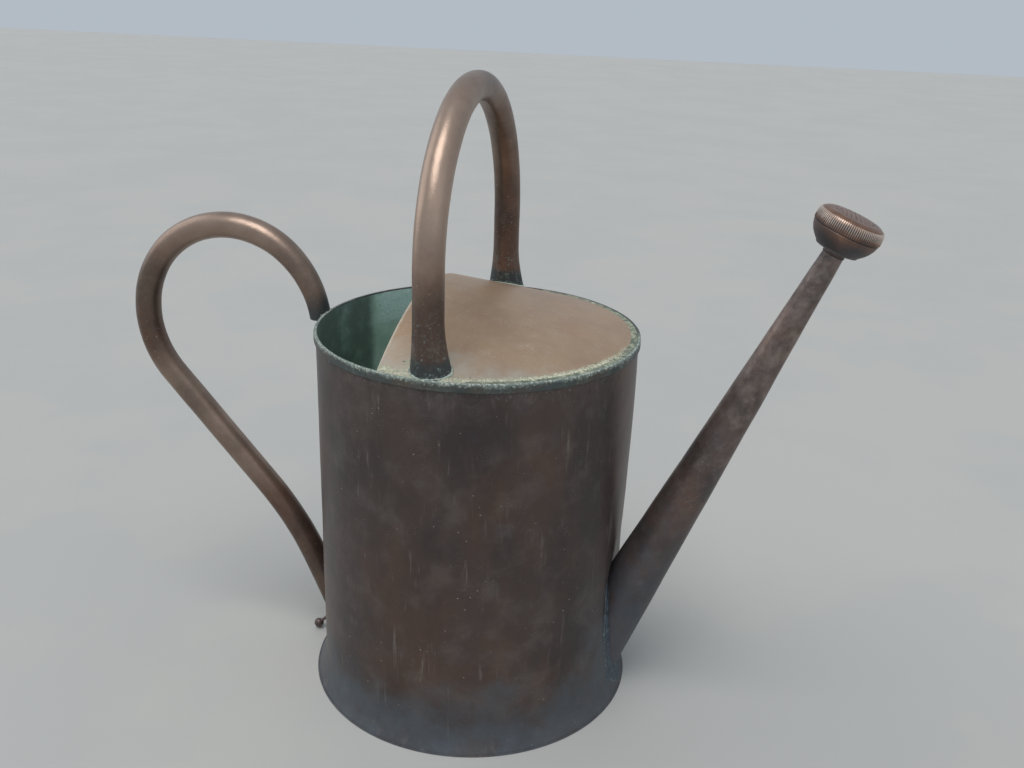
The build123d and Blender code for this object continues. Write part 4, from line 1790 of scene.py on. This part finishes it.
    def build(self, tank_cutter: bpy.types.Object) -> None:
        """Make the handle, its solder and its tail.

        Args:
            tank_cutter: The filled tank that the tube is cut to.
        """
        handle = self.draw_tube()
        self.pinch_end(handle)
        wide = 3 * self.tube_radius
        trim = turn_piece(
            "handle_trim",
            [(wide, self.top_cut - 2 * wide), (wide, self.top_cut)],
            even_angles(4),
            Matrix.Translation((self.loop_end.x, 0, 0)),
        )
        cut_away(handle, [tank_cutter, trim], crease_degrees=50.0)
        discard(trim)
        marks = {
            Mark.RUB: self.rub_rule,
            Mark.CRUST: lambda p: self.crust_level * self.joint_rule(p, self.crust_reach),
            Mark.BLOOM: lambda p: self.bloom_level * self.joint_rule(p, self.bloom_reach),
        }
        self.seat(handle, "can", "tube_copper", ["tube"], ["rear_handle"], marks)
        for end in ("top", "foot"):
            bead = self.solder.copy_node(self.frame, f"handle_solder_{end}", f"handle_bead_{end}")
            self.seat(bead, "can", "solder", ["solder"], [f"handle_solder_{end}"])
        self.dress_node("handle_tail", "spout")


@dataclass
class Spout(Maker):
    """Tapered rolled spout, with a socket in its tip for the rose."""

    tank: Tank
    angle: float = math.radians(66.93)
    length: float = 322.2 * MM
    root_height: float = 72.2 * MM
    tip_radius: float = 7.5 * MM
    root_radius: float = 22.2 * MM
    taper_length: float = 330.0 * MM
    sheet: float = 1.0 * MM
    reach: float = 385.8 * MM
    socket_depth: float = 16.0 * MM
    socket_radius: float = 6.3 * MM
    apron_up: float = 3.0 * MM
    apron_thick: float = 2.2 * MM
    apron_edge: float = 0.45 * MM
    apron_sunk: float = 1.2 * MM
    apron_low: float = 0.4 * MM
    apron_shares: tuple[float, ...] = (0.10, 0.25, 0.45, 0.70, 0.92, 1.0)
    apron_steps: int = 160
    apron_waves: Wave = Wave(1.0, 16.0 * MM, 0.5, 6.0 * MM)
    apron_crust: Fade = Fade(4.0 * MM, 0.4 * MM, 0.46)
    search_above: float = 150.0 * MM
    search_rounds: int = 24
    beating: Wave = Wave(0.30 * MM, 32.0 * MM, 0.08 * MM, 11.0 * MM)
    tip_calm: Fade = Fade(0.0, -20.0 * MM)
    root_crust: Fade = Fade(90.0 * MM, 20.0 * MM, 0.30)
    least_bloom: float = 0.25
    root_bloom: Fade = Fade(200.0 * MM, 40.0 * MM, 0.50)
    least_rub: float = 0.22
    # Painted sheen growing towards the tip, laid with the rubbed coat
    tip_rub: Fade = Fade(150.0 * MM, 330.0 * MM, 0.22)
    sides: int = 72

    @property
    def direction(self) -> Vector:
        """Way out along the spout."""
        return Vector((math.cos(self.angle), 0, math.sin(self.angle)))

    @property
    def tip(self) -> Vector:
        """Middle of the spout's tip."""
        return Vector((self.tank.radius, 0, self.root_height)) + self.direction * self.length

    @property
    def place(self) -> Matrix:
        """Local frame at the tip, with Z out along the spout."""
        return frame_at(self.tip, self.direction)

    def wide(self, depth: float) -> float:
        """Outside radius at a depth below the tip."""
        return self.tip_radius + (self.root_radius - self.tip_radius) / self.taper_length * depth

    def side_point(self, angle: float, depth: float) -> Vector:
        """Point of the cone's outside at an angle and a depth below the tip."""
        return self.place @ polar(self.wide(depth), angle, -depth)

    def root_depth(self, angle: float) -> float:
        """Depth at which the cone's side meets the tank's wall.

        Args:
            angle: Angle of the side about the spout.

        Returns:
            The depth below the tip.
        """
        clear, sunk = self.length - self.search_above, self.reach
        for _ in range(self.search_rounds):
            middle = (clear + sunk) / 2
            spot = self.side_point(angle, middle)
            if math.hypot(spot.x, spot.y) > self.tank.wall_radius(math.atan2(spot.y, spot.x), spot.z):
                clear = middle
            else:
                sunk = middle
        return sunk

    def apron_ring(self, angle: float) -> Ring:
        """Closed section of the solder apron: down the cone, out over the wall and back.

        Args:
            angle: Angle of the section about the spout.

        Returns:
            Its points.
        """
        depth = self.root_depth(angle)
        root = self.side_point(angle, depth)
        out_wall = Vector((root.x, root.y, 0)).normalized()
        out_cone = self.place.to_3x3() @ polar(1.0, angle, 0)
        along = (out_cone - out_wall * out_cone.dot(out_wall)).normalized()
        uneven = self.apron_waves.at(root)
        width = (10.0 - 5.0 * max(along.z, 0.0) + 2.4 * uneven) * MM
        ring = [self.side_point(angle, depth - self.apron_up * (1 + 0.4 * uneven)) + out_cone * 0.05 * MM]
        sunk = []
        for share in self.apron_shares:
            spot = root + along * width * share
            height = max(spot.z, self.apron_low)
            turn = math.atan2(spot.y, spot.x)
            rise = self.apron_thick * (1 - share) ** 2 + self.apron_edge * (share < 1)
            wide = self.tank.wall_radius(turn, height) + rise * (1 + 0.3 * uneven)
            ring.append(polar(wide, turn, height))
            if share in (self.apron_shares[0], self.apron_shares[-1]):
                sunk.append(polar(wide - rise - self.apron_sunk, turn, height))
        return ring + list(reversed(sunk))

    def build_apron(self) -> None:
        """Make the apron of solder that was run round the root."""
        rings = [self.apron_ring(t) for t in even_angles(self.apron_steps)]
        apron = skin_piece("spout_apron", rings, True, 70.0)
        edge = [spot for ring in rings for spot in ring[-4:-2]]
        tree = kdtree.KDTree(len(edge))
        for index, spot in enumerate(edge):
            tree.insert(spot, index)
        tree.balance()
        marks = {Mark.CRUST: lambda p: self.apron_crust.at(tree.find(p)[2])}
        self.seat(apron, "can", "solder", ["apron"], ["spout_solder"], marks)

    def build(self, tank_cutter: bpy.types.Object) -> None:
        """Make the spout and its solder.

        Args:
            tank_cutter: The filled tank that the spout is cut to.
        """
        outside = [(self.wide(d), -d) for d in steps(0.0, self.reach, 4 * MM)]
        inside = [(self.wide(d) - self.sheet, -d) for d in steps(self.reach, self.socket_depth, 20 * MM)]
        mouth = [(self.socket_radius, -self.socket_depth), (self.socket_radius, 0.0)]

        def swell(angle: float, height: float, row: int) -> float:
            """Beat the rolled cone a little, on the outside alone.

            Args:
                angle: Angle about the spout.
                height: Height over the tip.
                row: Row of the profile.

            Returns:
                The change of radius.
            """
            if row >= len(outside):
                return 0.0
            spot = polar(self.wide(-height), angle, height)
            return self.tip_calm.at(height) * self.beating.at(spot)

        profile = outside + inside + mouth
        spout = turn_piece("spout_cone", profile, even_angles(self.sides), self.place, swell, True)
        cut_away(spout, [tank_cutter])
        marks = {
            Mark.CRUST: lambda p: self.root_crust.at(p.z),
            Mark.BLOOM: lambda p: self.least_bloom + self.root_bloom.at(p.z),
            # Rubbed a little all over, with painted sheen growing towards the tip
            Mark.RUB: lambda p: self.least_rub + self.tip_rub.at(p.z),
        }
        self.seat(spout, "can", "spout_copper", ["spout"], ["spout"], marks)
        self.build_apron()


@dataclass
class Rose(Maker):
    """Rose on the spout's tip: bowl on a plug neck, with a knurled, perforated screw cap."""

    spout: Spout
    tilt: float = math.radians(2.0)
    bowl_offset: float = 3.3 * MM
    cap_radius: float = 23.4 * MM
    cap_bore: float = 21.45 * MM
    cap_base: float = 14.2 * MM
    cap_floor: float = 22.3 * MM
    cap_top: float = 25.3 * MM
    cap_round: float = 7.0 * MM
    cap_shoulder: float = 6.5 * MM
    cap_bevel: float = 0.6 * MM
    cap_dome: float = 0.8 * MM
    ridges: int = 98
    ridge_radius: float = 0.48 * MM
    hole_radius: float = 0.65 * MM
    hole_depth: float = 8.0 * MM
    ring_pitch: float = 3.4 * MM
    hole_rings: int = 4
    holes_per_ring: int = 6
    bowl_least: float = 0.55
    bowl_bloom: Fade = Fade(12.0 * MM, 7.0 * MM, 0.25)
    lip_rub: Fade = Fade(1.5 * MM, 1.2 * MM)
    face_rub: Fade = Fade(-2.0 * MM, 1.0 * MM, 0.10)
    # Painted shade on the cap's skirt, showing dark between the knurl's ridges
    skirt_bloom: Fade = Fade(4.0 * MM, 1.0 * MM, 0.70)
    ridge_least: float = 0.20
    # Painted highlight towards the ridges' upper ends and painted shade at their lower ends
    ridge_rub: Fade = Fade(-4.0 * MM, 2.0 * MM, 0.6)
    ridge_bloom: Fade = Fade(-1.0 * MM, -4.0 * MM, 0.6)
    sides: int = 128

    @property
    def place(self) -> Matrix:
        """Local frame at the bowl's lip, with Z out along the rose.

        Returns:
            The frame's matrix.
        """
        angle = self.spout.angle + self.tilt
        out = Vector((math.cos(angle), 0, math.sin(angle)))
        return frame_at(self.spout.tip + self.spout.direction * self.bowl_offset, out)

    @property
    def cap_edge(self) -> float:
        """Height at which the cap's shoulder begins."""
        return self.cap_top - self.cap_shoulder

    def cap_profile(self) -> Profile:
        """Section of the cap from inside its face, round its skirt and over its top.

        Returns:
            Radius and height of its points.
        """
        face = self.cap_radius - self.cap_round
        profile = [(0.0, self.cap_floor), (self.cap_bore - self.cap_bevel, self.cap_floor)]
        profile += [(self.cap_bore, self.cap_floor - self.cap_bevel), (self.cap_bore, self.cap_base)]
        profile.append((self.cap_radius - 0.6 * MM, self.cap_base))
        profile.append((self.cap_radius - 0.2 * MM, self.cap_base + 0.4 * MM))
        for t in steps(0.0, math.pi / 2, math.pi / 24):
            wide = face + self.cap_round * math.cos(t)
            profile.append((wide, self.cap_edge + self.cap_shoulder * math.sin(t)))
        for share in steps(1.0, 0.0, 0.1)[1:]:
            profile.append((face * share, self.cap_top + self.cap_dome * (1 - share * share)))
        return profile

    def bowl_profile(self) -> Profile:
        """Closed section of the bowl: up its round outside, its collar, and down inside to the neck.

        Returns:
            Radius and height of its points.
        """
        skirt = [(8.0, -1.2), (9.6, -0.7), (11.8, -0.2)]
        lip = [(14.2, 0.2), (14.9, 0.4), (15.1, 0.8), (15.0, 1.2)]
        outside = [(16.1, 2.1), (18.5, 4.5), (20.4, 6.9), (21.9, 9.6), (22.8, 12.2)]
        edge = [(23.1, 13.5), (22.8, 14.0)]
        collar = [(21.2, 14.0), (21.2, 20.8), (20.0, 20.8), (20.0, 12.6)]
        inside = [(20.8, 11.0), (20.2, 8.8), (18.8, 6.2), (16.5, 3.8), (14.0, 2.0), (10.0, 1.5)]
        bore = [(6.6, 1.2), (6.6, -1.2)]
        section = skirt + lip + outside + edge + collar + inside + bore
        return [(wide * MM, high * MM) for wide, high in section]

    def along(self, spot: Vector) -> float:
        """Height of a point over the bowl's lip, out along the rose."""
        return (self.place.inverted() @ spot).z

    def over_edge(self, spot: Vector) -> float:
        """Height of a point over the edge of the cap's shoulder."""
        return self.along(spot) - self.cap_edge

    def build_bowl(self) -> None:
        """Make the bowl."""
        angles = even_angles(self.sides)
        bowl = turn_piece("rose_bowl_shell", self.bowl_profile(), angles, self.place, None, True, 40.0)

        def lip_rule(spot: Vector) -> float:
            """The lip is rubbed bright."""
            over = self.along(spot)
            return self.lip_rub.at(over) * (over > 0)

        marks = {
            Mark.BLOOM: lambda p: self.bowl_least + self.bowl_bloom.at(self.along(p)),
            Mark.RUB: lip_rule,
        }
        self.seat(bowl, "rose", "rose_copper", ["rose"], ["rose_bowl"], marks)

    def build_cap(self) -> None:
        """Make the cap and drill rings of spray holes through its face."""
        blank = turn_piece("rose_cap_blank", self.cap_profile(), even_angles(self.sides), self.place)
        recipe = Recipe(
            "spray_holes",
            {
                "Hole Radius": self.hole_radius,
                "Ring Pitch": self.ring_pitch,
                "Depth": self.hole_depth,
                "Height": self.cap_top,
                "Material": self.materials["rose"],
                "Place": self.place.to_translation(),
                "Turn": self.place.to_euler(),
            },
        )
        add, given, link = recipe.add, recipe.given, recipe.tree.links.new
        spots = add("GeometryNodeJoinGeometry")
        link(add("GeometryNodeMeshLine", {"Count": 1}).outputs[0], spots.inputs[0])
        for ring in range(1, self.hole_rings + 1):
            reach = add("ShaderNodeMath", {0: given["Ring Pitch"], 1: ring}, operation="MULTIPLY")
            count = ring * self.holes_per_ring
            circle = add("GeometryNodeMeshCircle", {"Vertices": count, "Radius": reach.outputs[0]})
            link(circle.outputs[0], spots.inputs[0])
        drill = add(
            "GeometryNodeMeshCylinder",
            {"Vertices": 16, "Radius": given["Hole Radius"], "Depth": given["Depth"]},
        )
        drills = add(
            "GeometryNodeInstanceOnPoints", {"Points": spots.outputs[0], "Instance": drill.outputs[0]}
        )
        lift = add("ShaderNodeCombineXYZ", {"Z": given["Height"]})
        raised = add("GeometryNodeTransform", {0: drills.outputs[0], "Translation": lift.outputs[0]})
        placed = add(
            "GeometryNodeTransform",
            {0: raised.outputs[0], "Translation": given["Place"], "Rotation": given["Turn"]},
        )
        solid = add("GeometryNodeRealizeInstances", {0: placed.outputs[0]})
        drilled = add(
            "GeometryNodeMeshBoolean",
            {"Mesh 1": given["Start"], "Mesh 2": solid.outputs[0]},
            operation="DIFFERENCE",
            solver="EXACT",
        )
        cap = recipe.grow("rose_cap_shell", drilled.outputs[0], CREASE, blank)
        marks = {
            Mark.RUB: lambda p: self.face_rub.at(self.over_edge(p)),
            # Painted shade on the skirt, which darkens the gaps between the ridges
            Mark.BLOOM: lambda p: self.skirt_bloom.at(self.over_edge(p)),
        }
        self.seat(cap, "cap", "rose_copper", ["rose"], ["rose_cap"], marks)

    def build_knurl(self) -> None:
        """Bend a ridge over the cap's shoulder and repeat it all round."""
        edge = self.cap_edge
        recipe = Recipe(
            "knurled_band",
            {
                "Ridges": self.ridges,
                "Ridge Radius": self.ridge_radius,
                "Low": (self.cap_radius - 0.2 * MM, 0, self.cap_base + 0.6 * MM),
                "Bend": (self.cap_radius + 0.1 * MM, 0, edge + 2.2 * MM),
                "High": (self.cap_radius - 1.6 * MM, 0, edge + 4.2 * MM),
                "Material": self.materials["rose"],
                "Place": self.place.to_translation(),
                "Turn": self.place.to_euler(),
            },
        )
        add, given = recipe.add, recipe.given
        line = add(
            "GeometryNodeCurveQuadraticBezier",
            {"Resolution": 6, "Start": given["Low"], "Middle": given["Bend"], "End": given["High"]},
        )
        ring = add("GeometryNodeCurvePrimitiveCircle", {"Resolution": 6, "Radius": given["Ridge Radius"]})
        ridge = add(
            "GeometryNodeCurveToMesh",
            {"Curve": line.outputs[0], "Profile Curve": ring.outputs[0], "Fill Caps": True},
        )
        spots = add("GeometryNodePoints", {"Count": given["Ridges"]})
        index = add("GeometryNodeInputIndex")
        step = add("ShaderNodeMath", {0: math.tau, 1: given["Ridges"]}, operation="DIVIDE")
        angle = add("ShaderNodeMath", {0: index.outputs[0], 1: step.outputs[0]}, operation="MULTIPLY")
        about = add("ShaderNodeCombineXYZ", {"Z": angle.outputs[0]})
        turned = add("FunctionNodeEulerToRotation", {0: about.outputs[0]})
        band = add(
            "GeometryNodeInstanceOnPoints",
            {"Points": spots.outputs[0], "Instance": ridge.outputs[0], "Rotation": turned.outputs[0]},
        )
        placed = add(
            "GeometryNodeTransform",
            {0: band.outputs[0], "Translation": given["Place"], "Rotation": given["Turn"]},
        )
        knurl = recipe.grow("rose_cap_knurl", placed.outputs[0], 50.0)
        marks = {
            # Ridges rubbed a little, with a painted highlight towards their tops and painted shade at their
            # lower ends
            Mark.RUB: lambda p: self.ridge_least + self.ridge_rub.at(self.over_edge(p)),
            Mark.BLOOM: lambda p: self.ridge_bloom.at(self.over_edge(p)),
        }
        self.seat(knurl, "cap", "rose_copper", ["rose"], marks=marks)

    def build(self) -> None:
        """Make the cap and the bowl and dress the rest of the rose."""
        self.build_cap()
        self.build_knurl()
        self.build_bowl()
        self.dress_node("rose_neck", "spout")
        for washer in ("rose_seal", "rose_cap_washer"):
            self.dress_node(washer, "leather")


@dataclass(frozen=True)
class Sun:
    """A soft lamp, far off."""

    name: str
    swing: float
    height: float
    spread: float
    strength: float

    def build(self) -> None:
        """Hang the lamp and point it at the can."""
        lamp = bpy.data.lights.new(self.name, "SUN")
        lamp.angle = math.radians(self.spread)
        lamp.energy = self.strength
        stand = link_object(self.name, lamp)
        high = math.radians(self.height)
        way = polar(math.cos(high), math.radians(self.swing), math.sin(high))
        stand.location = way * 3
        stand.rotation_euler = (-way).to_track_quat("-Z", "Y").to_euler()


@dataclass
class Studio:
    """Pale floor, soft lights and the camera at the photograph's angle."""

    floor_size: float = 16.0
    camera_place: Axes = (0.1985, -0.7234, 0.5324)
    camera_swing: float = math.radians(13.3)
    camera_dip: float = math.radians(20.91)
    camera_roll: float = math.radians(1.93)
    focal_pixels: float = 1049.9
    picture_width: float = 1024.0
    sensor: float = 36.0
    sky: str = "#b4bec9"
    sky_strength: float = 0.72
    backdrop: str = "#b3bcc5"
    suns: tuple[Sun, ...] = (
        Sun("high_front", -97.0, 68.0, 38.0, 1.55),
        Sun("left_side", 176.0, 24.0, 50.0, 0.55),
        Sun("right_fill", -30.0, 40.0, 60.0, 0.20),
    )

    def build_floor(self) -> None:
        """Lay the floor."""
        half = self.floor_size / 2
        corners = [Vector((x * half, y * half, 0)) for x, y in ((-1, -1), (1, -1), (1, 1), (-1, 1))]
        floor = make_piece("studio_floor", corners, [(0, 1, 2, 3)])
        floor.data.materials.append(StudioFloor().build())

    def build_sky(self) -> None:
        """Set the sky that lights the can and the pale backdrop that is seen."""
        world = bpy.data.worlds.new("studio_sky")
        world.use_nodes = True
        tree = world.node_tree
        tree.nodes.clear()
        lit = {"Color": linear_colour(self.sky), "Strength": self.sky_strength}
        glow = add_node(tree, "ShaderNodeBackground", lit)
        shown = {"Color": linear_colour(self.backdrop), "Strength": 1.0}
        screen = add_node(tree, "ShaderNodeBackground", shown)
        path = add_node(tree, "ShaderNodeLightPath")
        seen = path.outputs["Is Camera Ray"]
        for ray in ("Is Glossy Ray", "Is Transmission Ray"):
            either = add_node(tree, "ShaderNodeMath", {0: seen, 1: path.outputs[ray]}, operation="MAXIMUM")
            seen = either.outputs[0]
        mixed = add_node(tree, "ShaderNodeMixShader", {0: seen, 1: glow.outputs[0], 2: screen.outputs[0]})
        add_node(tree, "ShaderNodeOutputWorld", {"Surface": mixed.outputs[0]})
        bpy.context.scene.world = world

    def build_camera(self) -> None:
        """Stand the camera where the photograph was taken from."""
        swing, dip, roll = self.camera_swing, self.camera_dip, self.camera_roll
        right = Vector((math.cos(swing), math.sin(swing), 0))
        ahead = Vector((-math.sin(swing) * math.cos(dip), math.cos(swing) * math.cos(dip), -math.sin(dip)))
        up = right.cross(ahead)
        rolled_right = right * math.cos(roll) + up * math.sin(roll)
        rolled_up = up * math.cos(roll) - right * math.sin(roll)
        lens = bpy.data.cameras.new("camera")
        lens.sensor_width = self.sensor
        lens.lens = self.focal_pixels / self.picture_width * self.sensor
        camera = link_object("camera", lens)
        turn = Matrix((rolled_right, rolled_up, -ahead)).transposed().to_4x4()
        camera.matrix_world = Matrix.Translation(self.camera_place) @ turn
        bpy.context.scene.camera = camera

    def build(self) -> None:
        """Make the whole set."""
        self.build_floor()
        self.build_sky()
        for sun in self.suns:
            sun.build()
        self.build_camera()
        bpy.context.scene.view_settings.view_transform = "Standard"


def main() -> None:
    """Build and dress the can, piece by piece."""
    logging.basicConfig(level=logging.INFO, format="%(message)s")
    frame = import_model()
    materials = Materials(Palette())
    tank = Tank(frame, materials)
    cover = Cover(frame, materials)
    tank.build()
    cover.build()
    Hoop(frame, materials, cover).build()
    cutter = tank.make_cutter()
    RearHandle(frame, materials).build(cutter)
    spout = Spout(frame, materials, tank)
    spout.build(cutter)
    discard(cutter)
    Rose(frame, materials, spout).build()
    Studio().build()
    LOG.info("watering can dressed")


if __name__ == "__main__":
    main()
